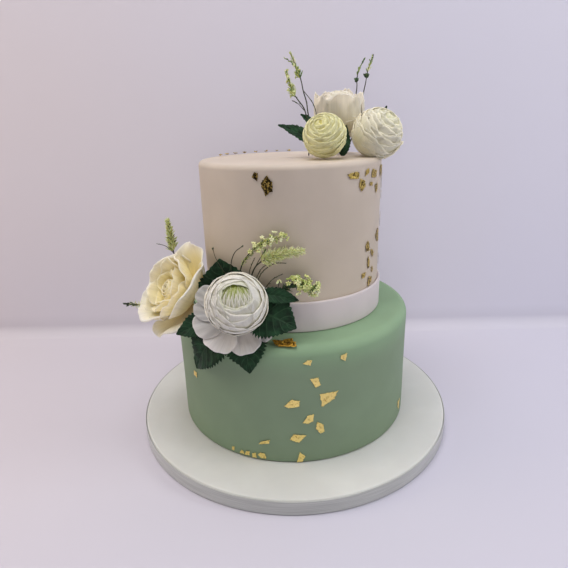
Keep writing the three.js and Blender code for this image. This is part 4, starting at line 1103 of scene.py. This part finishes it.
# The cream rose on the left: a coiled heart, rings of ruffled petals with rolled rims, and one petal
# that droops. The cloth is dyed golden at each petal's foot and is left cream and white at the rim.
rose_cloth = petal_cloth("rose_cloth", rim=(0.95, 0.90, 0.76), body=(0.95, 0.85, 0.46),
                         foot=(0.92, 0.70, 0.17), heart=(0.95, 0.78, 0.20), veins=0.12, tip_share=0.5)
# The drooping petal's cloth is a darker, more orange copy of the rose's: painted shade
droop_shade_cloth = petal_cloth("droop_shade_cloth", rim=(0.86, 0.80, 0.66), body=(0.84, 0.70, 0.38),
                          foot=(0.74, 0.48, 0.14), heart=(0.8, 0.6, 0.3), veins=0.15)
ROSE = flower_frame((-86, -45.5, 135), (-0.58, -0.38, 0.72))
ROSE_HEART_TIP = -0.28
ROSE_HEART = tipped_frame(ROSE, 2, ROSE_HEART_TIP)
ROSE_COIL = (ring(2, 8, 20, 1.6, 14, 2, 1.0) + ring(2, 20, 100, 1.5, 14, 2, 0.9)
             + ring(3, 34, 50, 1.4, 14, 2, 0.8) + ring(3, 50, 100, 1.4, 14, 2, 0.7))
ROSE_COIL_RADIUS = 8.5
ROSE_COIL_MIDDLE = 13.6
ROSE_CORE_SHARE = 0.5
ROSE_MIDDLE_ANGLES = (75, 165, 255, 345)
ROSE_MIDDLE_SPREAD = 70
ROSE_MIDDLE_REACH = 0.94
ROSE_MIDDLE = dict(profile=[(2.5, 1), (8, 4), (12, 12), (13.5, 22)], climb=1.2, ruffle=1.0, waves=5,
                   flute=0.6, jagged=0.04, rolled=0.16, curl=2.0, roll=0.7)
ROSE_INNER = dict(profile=[(3, 1), (11, 4), (16.5, 13), (19.5, 25)], climb=1, ruffle=1.6, waves=5,
                  flute=0.9, jagged=0.05, rolled=0.14, curl=2.2, roll=0.9)
ROSE_WIDE = dict(profile=[(3, 0), (12.5, 1.6), (20.5, 9), (24.5, 18), (27.5, 25)], climb=1, ruffle=1.8,
                 waves=5, flute=1.2, jagged=0.05, rolled=0.12, curl=2.2, roll=1.0)
ROSE_OUTER = dict(profile=[(3.5, -2.4), (14, -1.2), (25, 5.5), (32, 15.5), (37, 21)], climb=1.1, ruffle=2.0,
                  waves=6, flute=1.9, flutes=8, jagged=0.05, rolled=0.11, curl=2.3, roll=1.2)
ROSE_DROOP = dict(ROSE_OUTER, profile=[(3.5, -5.4), (15, -5.6), (28, -1.6), (36, 3.5), (41, 5)])
# The two sheets of each inner petal: a turn and a half spread in degrees, the share of the full length and
# the shape
ROSE_INNER_SHEETS = [(0, 62, 0.95, ROSE_INNER), (40, 56, 0.92, ROSE_WIDE)]
ROSE_INNER_TONES = (0.5, 0.3)
# Each outer petal: its angle and its half spread in degrees, its share of the full length, its shape
ROSE_OUTER_PETALS = [(10, 58, 0.96, ROSE_OUTER), (95, 58, 0.96, ROSE_OUTER), (175, 58, 0.90, ROSE_OUTER),
                     (250, 56, 0.88, ROSE_OUTER), (306, 50, 0.96, ROSE_DROOP)]
coil_sheets, coil_tones = ball_sheets(ROSE_HEART, ROSE_COIL_RADIUS, ROSE_COIL_MIDDLE, ROSE_COIL, low=0.6,
                                      sink=0.15, span=60)
middle_sheets = [petal_sheet(ROSE_HEART, ROSE_MIDDLE, angle, ROSE_MIDDLE_SPREAD, ROSE_MIDDLE_REACH)
                 for angle in ROSE_MIDDLE_ANGLES]
coil_core = core_sheet(ROSE_HEART, ROSE_COIL_RADIUS * ROSE_CORE_SHARE, ROSE_COIL_MIDDLE)
rose_coil = sheets_object("rose_coil", coil_sheets + middle_sheets + [coil_core], rose_cloth,
                          PETAL_THICKNESS, coil_tones + [0.7] * len(middle_sheets) + [1.0])
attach(rose_coil, "root")
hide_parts("rose_heart")
for number in range(1, 5):
    angle = 90 * number - 60
    sheets = [petal_sheet(ROSE_HEART, layer, angle + turn, spread, reach)
              for turn, spread, reach, layer in ROSE_INNER_SHEETS]
    petal = sheets_object(f"rose_inner_{number}", sheets, rose_cloth, PETAL_THICKNESS, ROSE_INNER_TONES)
    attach(petal, "root")
    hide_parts(f"rose_inner_petal_{number}")
for number, (angle, spread, reach, layer) in enumerate(ROSE_OUTER_PETALS, start=1):
    cloth = droop_shade_cloth if layer is ROSE_DROOP else rose_cloth
    sheet = petal_sheet(ROSE, layer, angle, spread, reach, rows=30, columns=41)
    petal = sheets_object(f"rose_outer_{number}", [sheet], cloth, PETAL_THICKNESS)
    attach(petal, "root")
    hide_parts(f"rose_outer_petal_{number}")

# On top: a pale yellow ranunculus in front, a large silky white one on the right, and a rear one whose
# petals stand up as a ruffled cup. They are made as the front one is.
yellow_cloth = petal_cloth("yellow_cloth", rim=(0.90, 0.86, 0.44), body=(0.94, 0.87, 0.36),
                           foot=(0.93, 0.79, 0.22), heart=(0.82, 0.75, 0.19))
silky_cloth = petal_cloth("silky_cloth", rim=(0.90, 0.84, 0.62), body=(0.92, 0.85, 0.58),
                          foot=(0.88, 0.80, 0.50), heart=(0.80, 0.80, 0.36))
cup_cloth = petal_cloth("cup_cloth", rim=(0.82, 0.75, 0.61), body=(0.84, 0.76, 0.59),
                        foot=(0.78, 0.68, 0.47), heart=(0.72, 0.67, 0.38))
TOP_CORE_SHARE = 0.865
# Each flower has a ball of petals and a few loose wraps round it. wrap is what wrap_layer takes, and each
# of wraps is an angle, a half spread, a share of the full length and the size of the rolled rim. A lining
# is a second sheet inside each wrap: its turn from it, its half spread and its share of the full length.
TOP_FLOWERS = {
    "top_yellow": dict(
        place=flower_frame((32.1, -22.8, 245.2), (-0.28, -0.73, 0.62)), cloth=yellow_cloth,
        slot="yellow_cloth", radius=16.4, middle=17, flare=0.25, frill=1.1, crinkle=0.08,
        wrap=(16.6, 0.36, 17), wraps=[(330, 42, 0.95, 0.4), (265, 42, 0.9, 0.3), (200, 42, 0.85, 0.5)],
        linings=[],
        petals=(ring(2, 5, 30, 1.6, 12, 2, 1.0) + ring(2, 12, 120, 1.6, 12, 2, 0.8)
                + ring(3, 20, 60, 1.5, 12, 2.4, 0.5) + ring(3, 28, 0, 1.5, 12, 2.4, 0.3)
                + ring(3, 36, 80, 1.5, 12, 2.4, 0.2) + ring(3, 44, 30, 1.5) + ring(3, 53, 100, 1.5)
                + ring(3, 62, 50, 1.4) + ring(3, 72, 0, 1.4) + ring(4, 83, 40) + ring(4, 96, 85)
                + ring(4, 112, 40))),
    "top_white": dict(
        place=flower_frame((60.5, -8, 241), (0.46, -0.5, 0.7)), cloth=silky_cloth, slot="white_cloth",
        radius=19.9, middle=20.5, flare=0.4, frill=1.9, crinkle=0.14, wrap=(19.9, 0.38, 20.5),
        wraps=[(30, 44, 0.85, 1.2), (110, 44, 0.95, 0.5), (190, 48, 1, 0.5), (300, 34, 1, 3.4)],
        linings=[],
        petals=(ring(2, 6, 30, 1.6, 12, 2, 0.9) + ring(2, 15, 120, 1.6, 14, 2.4, 0.7)
                + ring(3, 24, 60, 1.5, 14, 2.4, 0.4) + ring(3, 33, 0, 1.5, 14, 2.4, 0.2)
                + ring(3, 43, 70, 1.5, 14) + ring(3, 53, 20, 1.5, 14) + ring(4, 64, 60, 1.4, 12)
                + ring(4, 76, 10, 1.4, 12) + ring(4, 89, 50, 1.4, 12) + ring(4, 104, 20, 1.4, 12)
                + ring(4, 120, 60, 1.4, 12))),
    "top_rear": dict(
        place=flower_frame((44.5, 19, 248), (-0.05, -0.2, 0.98), (0, 1, 0)), cloth=cup_cloth,
        slot="white_cloth", radius=20.3, middle=22.5, flare=0.8, frill=2.4, crinkle=0.18,
        wrap=(20.7, 0.70, 22.5, 0.85, 0.17), linings=[(44, 34, 0.90)],
        wraps=[(15, 50, 0.84, 0.8), (105, 50, 0.86, 0.6), (190, 50, 0.96, 0.6), (275, 50, 0.97, 0.8)],
        petals=(ring(2, 8, 30, 1.6, 12, 2, 0.9) + ring(3, 18, 100, 1.5, 14, 2.4, 0.5)
                + ring(3, 28, 50, 1.5, 14, 2.4, 0.2) + ring(3, 38, 0, 1.5, 12) + ring(3, 48, 60, 1.5, 12)
                + ring(4, 60, 20, 1.4) + ring(4, 76, 70, 1.4) + ring(4, 96, 20, 1.4)
                + ring(4, 116, 65, 1.4))),
}
WRAP_STEPS = 5
WRAP_FOOT = 0.25
WRAP_PAST = 0.2
LINING_GAP = 0.8


def wrap_layer(radius, opened, middle, cup=0.0, corner=PETAL_CORNER):
    """The profile of a petal that follows a ball from near its base, over the share opened of a half turn
    and a little past it. Above the middle a cup of 1 would stand straight up, and one of 0 closes over the
    ball. The corner is how much of the petal's length is rounded off at its sides."""
    polar = WRAP_FOOT + (math.pi * opened + WRAP_PAST) * np.linspace(0, 1, WRAP_STEPS + 1)
    share = np.where(polar > math.pi / 2, 1 - cup, 1.0)
    reach = radius * (1 - share * (1 - np.sin(polar)))
    profile = np.stack([reach, middle - radius * np.cos(polar)], axis=-1)
    return dict(profile=profile, climb=0.35, ruffle=0.5, waves=6, flute=0.35, jagged=0.08, corner=corner,
                rolled=0.2, curl=1.6)


for name, flower in TOP_FLOWERS.items():
    place = flower["place"]
    sheets, tones = ball_sheets(place, flower["radius"], flower["middle"], flower["petals"],
                                frill=flower["frill"], flare=flower["flare"], crinkle=flower["crinkle"])
    sheets.append(core_sheet(place, flower["radius"] * TOP_CORE_SHARE, flower["middle"]))
    ball = sheets_object(name + "_ball", sheets, flower["cloth"], PETAL_THICKNESS, tones + [0.6])
    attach(ball, "root")
    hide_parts(name + "_head")
    for number, (angle, spread, reach, roll) in enumerate(flower["wraps"], start=1):
        layer = dict(wrap_layer(*flower["wrap"]), roll=roll)
        inside = dict(layer, offset=LINING_GAP)
        sheets = [petal_sheet(place, layer, angle, spread, reach)]
        sheets += [petal_sheet(place, inside, angle + turn, half, share)
                   for turn, half, share in flower["linings"]]
        petal = sheets_object(f"{name}_wrap_{number}", sheets, flower["cloth"], PETAL_THICKNESS)
        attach(petal, "root")
        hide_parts(f"{name}_petal_{number}")

# The sprigs: thin wired stems, dark green to brown, set with needles, buds and tiny florets of yellow
# green flocked plastic, glued on one by one. The wires are pushed into the icing between the flowers.
FINE_SIDES = 6
STEM_RINGS = 40
STEM_TAPER = 3.2
STALK_THICKNESS = 0.4
STALK_SIZES = (0.4, 1.0)
STALK_TONE = 0.35
FLORET_PETALS = 5
FLORET_LEANS = (25, 75)
FLORET_AHEAD = 0.45
FLORET_WIDTH = 0.6
NEEDLE_LEANS = (0.5, 1.3)
NEEDLE_SIZES = (0.55, 1.15)
NEEDLE_WIDTHS = (0.75, 1.2)
NEEDLE_TIP_LOSS = 0.6
SPINDLE_POWER = 0.8
GOLDEN_TURN = 2.39996
# All lengths are in millimetres. A stem is its points and its thickness at the foot.
# A row of needles is its stem's number, from and to which share of that stem, how many, their length and
# width, their spread in degrees, and their darkest and lightest tone.
# A row of florets has the same first four, the stalk's and the petal's length, and the two tones.
SPRIGS = {
    "front_sprig_1": dict(
        stems=[([(-36, -78, 114), (-37.5, -73.5, 132), (-38, -73.5, 150), (-36.5, -76, 166),
                 (-29, -79, 178), (-18, -82, 186), (-3, -83, 191)], 1.3),
               ([(-37.7, -73.3, 138), (-43, -72, 152), (-44, -74, 167), (-40.5, -77, 177.5),
                 (-34, -79, 183)], 0.9),
               ([(-38, -73.5, 150), (-38.5, -75, 160), (-34, -77.5, 171), (-27, -80, 178)], 0.7),
               ([(-43, -72, 152), (-50, -73, 163), (-55, -73, 173), (-56.5, -73, 180)], 0.6)],
        needles=[(0, 0.70, 1.0, 150, 5.6, 0.5, 46, 0.70, 1.0), (2, 0.55, 1.0, 40, 4.2, 0.5, 40, 0.45, 0.9),
                 (1, 0.93, 1.0, 7, 2.2, 0.5, 26, 0.05, 0.35), (3, 0.9, 1.0, 8, 2.8, 0.8, 24, 0.02, 0.3)],
        florets=[(0, 0.66, 0.96, 20, 6.0, 2.3, 0.88, 1.0)]),
    "front_sprig_2": dict(
        stems=[([(-31, -79, 114), (-31, -74.5, 135), (-30.5, -75, 152), (-27, -78, 165), (-20, -81, 172.5),
                 (-9, -83, 177), (8, -84, 179.5)], 1.3),
               ([(-31, -74.5, 136), (-26, -77, 152), (-21, -81, 163.5), (-12, -83, 170.5),
                 (-3.5, -84, 171)], 0.9),
               ([(-27, -78, 165), (-22, -80.5, 174), (-17.5, -82, 181)], 0.7),
               ([(-30.5, -75, 152), (-30.5, -77, 163), (-26, -80, 174)], 0.7),
               ([(-31, -74.5, 140), (-27, -77, 154), (-22, -79, 165), (-15, -81, 171)], 0.8),
               ([(-30.5, -75, 134), (-22, -79, 147), (-14, -82, 158), (-6, -84, 163)], 0.8)],
        needles=[(0, 0.64, 1.0, 620, 9.0, 0.55, 52, 0.86, 1.0),
                 (1, 0.45, 1.0, 16, 2.2, 0.45, 24, 0.05, 0.4), (2, 0.7, 1.0, 10, 2.4, 0.5, 30, 0.3, 0.6),
                 (3, 0.7, 1.0, 8, 2.4, 0.5, 30, 0.05, 0.4), (4, 0.4, 1.0, 14, 2.2, 0.5, 28, 0.05, 0.4),
                 (5, 0.5, 1.0, 12, 2.2, 0.5, 28, 0.05, 0.4)],
        florets=[]),
    "front_sprig_3": dict(
        stems=[([(-20, -84, 114), (-17, -82.5, 128), (-12.5, -83.5, 142), (-8, -85.5, 150.5),
                 (0, -87, 154.5), (8, -88, 155.5), (15, -88, 153)], 1.2),
               ([(-8, -85.5, 150.5), (-2, -88, 157), (4, -89, 160.5)], 0.7),
               ([(-12.5, -83.5, 142), (-10, -86, 152), (-8.5, -87, 158)], 0.6)],
        needles=[(0, 0.50, 0.8, 110, 7.0, 0.6, 34, 0.15, 0.45), (1, 0.75, 1.0, 14, 2.6, 0.8, 40, 0.0, 0.3),
                 (0, 0.78, 1.0, 90, 6.5, 0.6, 55, 0.6, 0.95)],
        florets=[(0, 0.70, 1.0, 42, 7.5, 2.6, 0.78, 1.0), (1, 0.5, 0.95, 14, 4.0, 2.2, 0.70, 1.0),
                 (2, 0.85, 1.0, 3, 1.6, 1.4, 0.9, 1.0)]),
    "left_sprig": dict(
        stems=[([(-84, -20, 114), (-93, -13, 130), (-100, -10, 148), (-102, -10, 163), (-103, -10, 176),
                 (-104, -10, 189)], 1.2),
               ([(-101.5, -10, 160), (-108, -11, 167), (-115, -12, 169.5)], 0.7)],
        needles=[(0, 0.58, 1.0, 240, 8.0, 0.9, 44, 0.72, 1.0), (0, 0.58, 0.97, 44, 6.0, 0.8, 50, 0.05, 0.3),
                 (1, 0.6, 1.0, 6, 2.0, 0.5, 26, 0.05, 0.35)],
        florets=[]),
    "left_bud": dict(
        stems=[([(-86, -33, 114.5), (-99, -32, 117), (-112, -35, 120.5), (-124, -42, 125),
                 (-136, -51, 130)], 1.2)],
        needles=[(0, 0.80, 1.0, 24, 4.8, 1.1, 26, 0.0, 0.3), (0, 0.62, 0.92, 80, 5.5, 0.45, 70, 0.88, 1.0)],
        florets=[]),
    "top_sprig_1": dict(
        stems=[([(22, 4, 238.8), (20, 0, 255), (16.5, -4, 272), (15.4, -5, 280), (13, -5, 288),
                 (11.4, -5, 295.5), (8.2, -5, 304.5), (3.5, -5, 315.5)], 1.2),
               ([(26, 3, 238.8), (24.5, 0, 262), (21.5, -4, 277), (13, -5, 288.5)], 0.9),
               ([(9, -5, 303), (4.5, -5, 308.5), (-1, -5, 312)], 0.6)],
        needles=[(0, 0.74, 0.86, 40, 6.0, 0.9, 36, 0.40, 0.85), (0, 0.85, 1.0, 26, 5.2, 0.7, 24, 0.6, 1.0),
                 (2, 0.3, 1.0, 8, 3.4, 0.7, 22, 0.35, 0.8), (1, 0.4, 0.75, 5, 2.6, 0.8, 32, 0.1, 0.4)],
        florets=[(0, 0.76, 0.88, 4, 3.6, 1.6, 0.8, 1.0)]),
    "top_sprig_2": dict(
        stems=[([(17, -1, 238.8), (17, -5, 255), (14.2, -8, 273), (8, -8, 282.5), (4.4, -8, 288),
                 (-0.3, -8, 302.5)], 1.1),
               ([(14.2, -8, 273), (8.5, -9, 279), (4.5, -9, 281)], 0.6)],
        needles=[(0, 0.66, 0.98, 90, 6.6, 0.7, 38, 0.50, 1.0), (1, 0.5, 1.0, 5, 2.6, 0.7, 24, 0.05, 0.4),
                 (0, 0.5, 0.7, 5, 2.4, 0.7, 30, 0.1, 0.4)],
        florets=[(0, 0.70, 0.96, 8, 4.0, 1.6, 0.8, 1.0)]),
    "top_sprig_3": dict(
        stems=[([(48, 46, 238.8), (57, 44.5, 265), (61.4, 43, 289.5), (61.6, 43, 298.5), (63, 43, 306.4),
                 (67.7, 43, 315)], 1.1)],
        needles=[(0, 0.55, 0.61, 26, 4.2, 1.4, 52, 0.15, 0.5), (0, 0.68, 1.0, 26, 3.8, 0.9, 20, 0.25, 0.8)],
        florets=[]),
    "top_sprig_4": dict(
        stems=[([(53, 41, 238.8), (62.5, 41, 262), (67.2, 41, 287.6), (69, 41, 296), (70.2, 41, 304),
                 (74.6, 41, 317.5)], 1.1)],
        needles=[(0, 0.70, 0.77, 30, 4.4, 1.5, 52, 0.12, 0.45), (0, 0.80, 0.98, 22, 4.0, 0.9, 36, 0.5, 1.0),
                 (0, 0.93, 1.0, 8, 2.8, 0.9, 14, 0.0, 0.25)],
        florets=[]),
}


def spindles(base, direction, length, width, rings=5, sides=FINE_SIDES):
    """Slim bodies that swell from a point and close to a point, one for each base: their half width is
    a power of the sine of the way along. The result is bodies x rings x sides x 3."""
    side, over = cross_axes(direction)
    share = np.linspace(0, 1, rings)
    turn = np.linspace(0, 2 * math.pi, sides, endpoint=False)
    swell = np.sin(math.pi * share) ** SPINDLE_POWER
    swell[-1] = 0.0
    along = base[:, None] + direction[:, None] * length[:, None, None] * share[None, :, None]
    circle = np.cos(turn)[None, :, None] * side[:, None] + np.sin(turn)[None, :, None] * over[:, None]
    reach = (width / 2)[:, None] * swell[None, :]
    return along[:, :, None] + reach[:, :, None, None] * circle[:, None]


def needle_bodies(stem, low, high, count, length, width, spread, draw):
    """Needles round a stem from share low to share high, a golden turn apart, leaning from it by about
    spread and shorter towards its tip."""
    share = np.linspace(low, high, count)
    place, run = spline_at(stem, share)
    side, over = cross_axes(run)
    turn = (GOLDEN_TURN * np.arange(count))[:, None]
    lean = np.radians(spread * draw.uniform(*NEEDLE_LEANS, count))[:, None]
    direction = run * np.cos(lean) + (side * np.cos(turn) + over * np.sin(turn)) * np.sin(lean)
    loss = NEEDLE_TIP_LOSS * ((share - low) / (high - low)) ** 1.5
    size = length * draw.uniform(*NEEDLE_SIZES, count) * (1 - loss)
    return spindles(place, direction, size, width * draw.uniform(*NEEDLE_WIDTHS, count))


def floret_bodies(stem, low, high, count, stalk, petal, draw):
    """Florets on short stalks round a stem: each has five petals that spread from the stalk's end."""
    share = np.linspace(low, high, count)
    place, run = spline_at(stem, share)
    side, over = cross_axes(run)
    turn = (GOLDEN_TURN * np.arange(count) + 0.7)[:, None]
    lean = np.radians(draw.uniform(*FLORET_LEANS, count))[:, None]
    direction = run * np.cos(lean) + (side * np.cos(turn) + over * np.sin(turn)) * np.sin(lean)
    size = stalk * draw.uniform(*STALK_SIZES, count)
    stalks = spindles(place, direction, size * 1.15, np.full(count, STALK_THICKNESS))
    ends = np.repeat(place + direction * size[:, None], FLORET_PETALS, axis=0)
    ahead = np.repeat(direction, FLORET_PETALS, axis=0)
    sideways, crossways = (np.repeat(axis, FLORET_PETALS, axis=0) for axis in cross_axes(direction))
    fan = np.tile(2 * math.pi / FLORET_PETALS * np.arange(FLORET_PETALS), count)[:, None]
    spread = FLORET_AHEAD * ahead + sideways * np.cos(fan) + crossways * np.sin(fan)
    spread /= np.linalg.norm(spread, axis=1, keepdims=True)
    lengths = petal * draw.uniform(0.8, 1.2, FLORET_PETALS * count)
    return stalks, spindles(ends, spread, lengths, np.full(FLORET_PETALS * count, petal * FLORET_WIDTH))


def sprig_parts(shape, draw):
    """A sprig's bodies in groups, and a tone for every point: 0 for stem brown up to 1 for pale yellow."""
    groups, tones = [], []
    for stem, thickness in shape["stems"]:
        groups.append(tube(stem, thickness / 2, thickness / STEM_TAPER, STEM_RINGS, FINE_SIDES))
        tones.append(np.zeros(1))
    for stem, low, high, count, length, width, spread, dark, light in shape["needles"]:
        groups.append(needle_bodies(shape["stems"][stem][0], low, high, count, length, width, spread, draw))
        tones.append(draw.uniform(dark, light, count))
    for stem, low, high, count, stalk, petal, dark, light in shape["florets"]:
        stalks, petals = floret_bodies(shape["stems"][stem][0], low, high, count, stalk, petal, draw)
        groups += [stalks, petals]
        tones += [np.full(count, STALK_TONE), np.repeat(draw.uniform(dark, light, count), FLORET_PETALS)]
    each = [np.repeat(tone, (group.shape[1] - 2) * group.shape[2] + 2)
            for group, tone in zip(groups, tones)]
    return groups, np.concatenate(each)


SPRIG_BROWN = (0.035, 0.040, 0.018, 1)
SPRIG_PALE = (0.84, 0.86, 0.55, 1)
SPRIG_GREENS = [(0.25, (0.025, 0.060, 0.030, 1)), (0.5, (0.10, 0.20, 0.05, 1)),
                (0.75, (0.44, 0.52, 0.14, 1)), (0.9, (0.64, 0.69, 0.28, 1))]


def sprig_material():
    """Dyed plastic and flock: brown, dark green, leaf green, yellow green and pale yellow by the tone."""
    material, tree, shader = start_material("sprig_flock", Roughness=0.62, Subsurface_Weight=0.1,
                                            Subsurface_Scale=0.001)
    tone = add_node(tree, "ShaderNodeAttribute", attribute_name="tone").outputs["Fac"]
    ramp = add_node(tree, "ShaderNodeValToRGB", {"Fac": tone})
    ramp.color_ramp.elements[0].color = SPRIG_BROWN
    ramp.color_ramp.elements[1].color = SPRIG_PALE
    for position, colour in SPRIG_GREENS:
        ramp.color_ramp.elements.new(position).color = colour
    place = add_node(tree, "ShaderNodeTexCoord").outputs["Object"]
    patch = add_node(tree, "ShaderNodeTexNoise", {"Vector": place, "Scale": 700.0, "Detail": 2.0})
    shade = add_node(tree, "ShaderNodeMapRange", {"Value": patch.outputs["Fac"], "To Min": 0.7,
                                                  "To Max": 1.2})
    tint = add_node(tree, "ShaderNodeMix", {"Factor": 1.0, "A": ramp.outputs["Color"],
                                            "B": shade.outputs["Result"]}, data_type="RGBA",
                    blend_type="MULTIPLY")
    tree.links.new(tint.outputs["Result"], shader.inputs["Base Color"])
    return material


flock = sprig_material()
for seed, (name, shape) in enumerate(SPRIGS.items(), start=70):
    groups, tone = sprig_parts(shape, np.random.default_rng(seed))
    points, faces = closed_bodies(groups)
    sprig = mesh_object(name + "_wired", points / 1000, faces, flock, tone=tone)
    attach(sprig, "root")
    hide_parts(name)
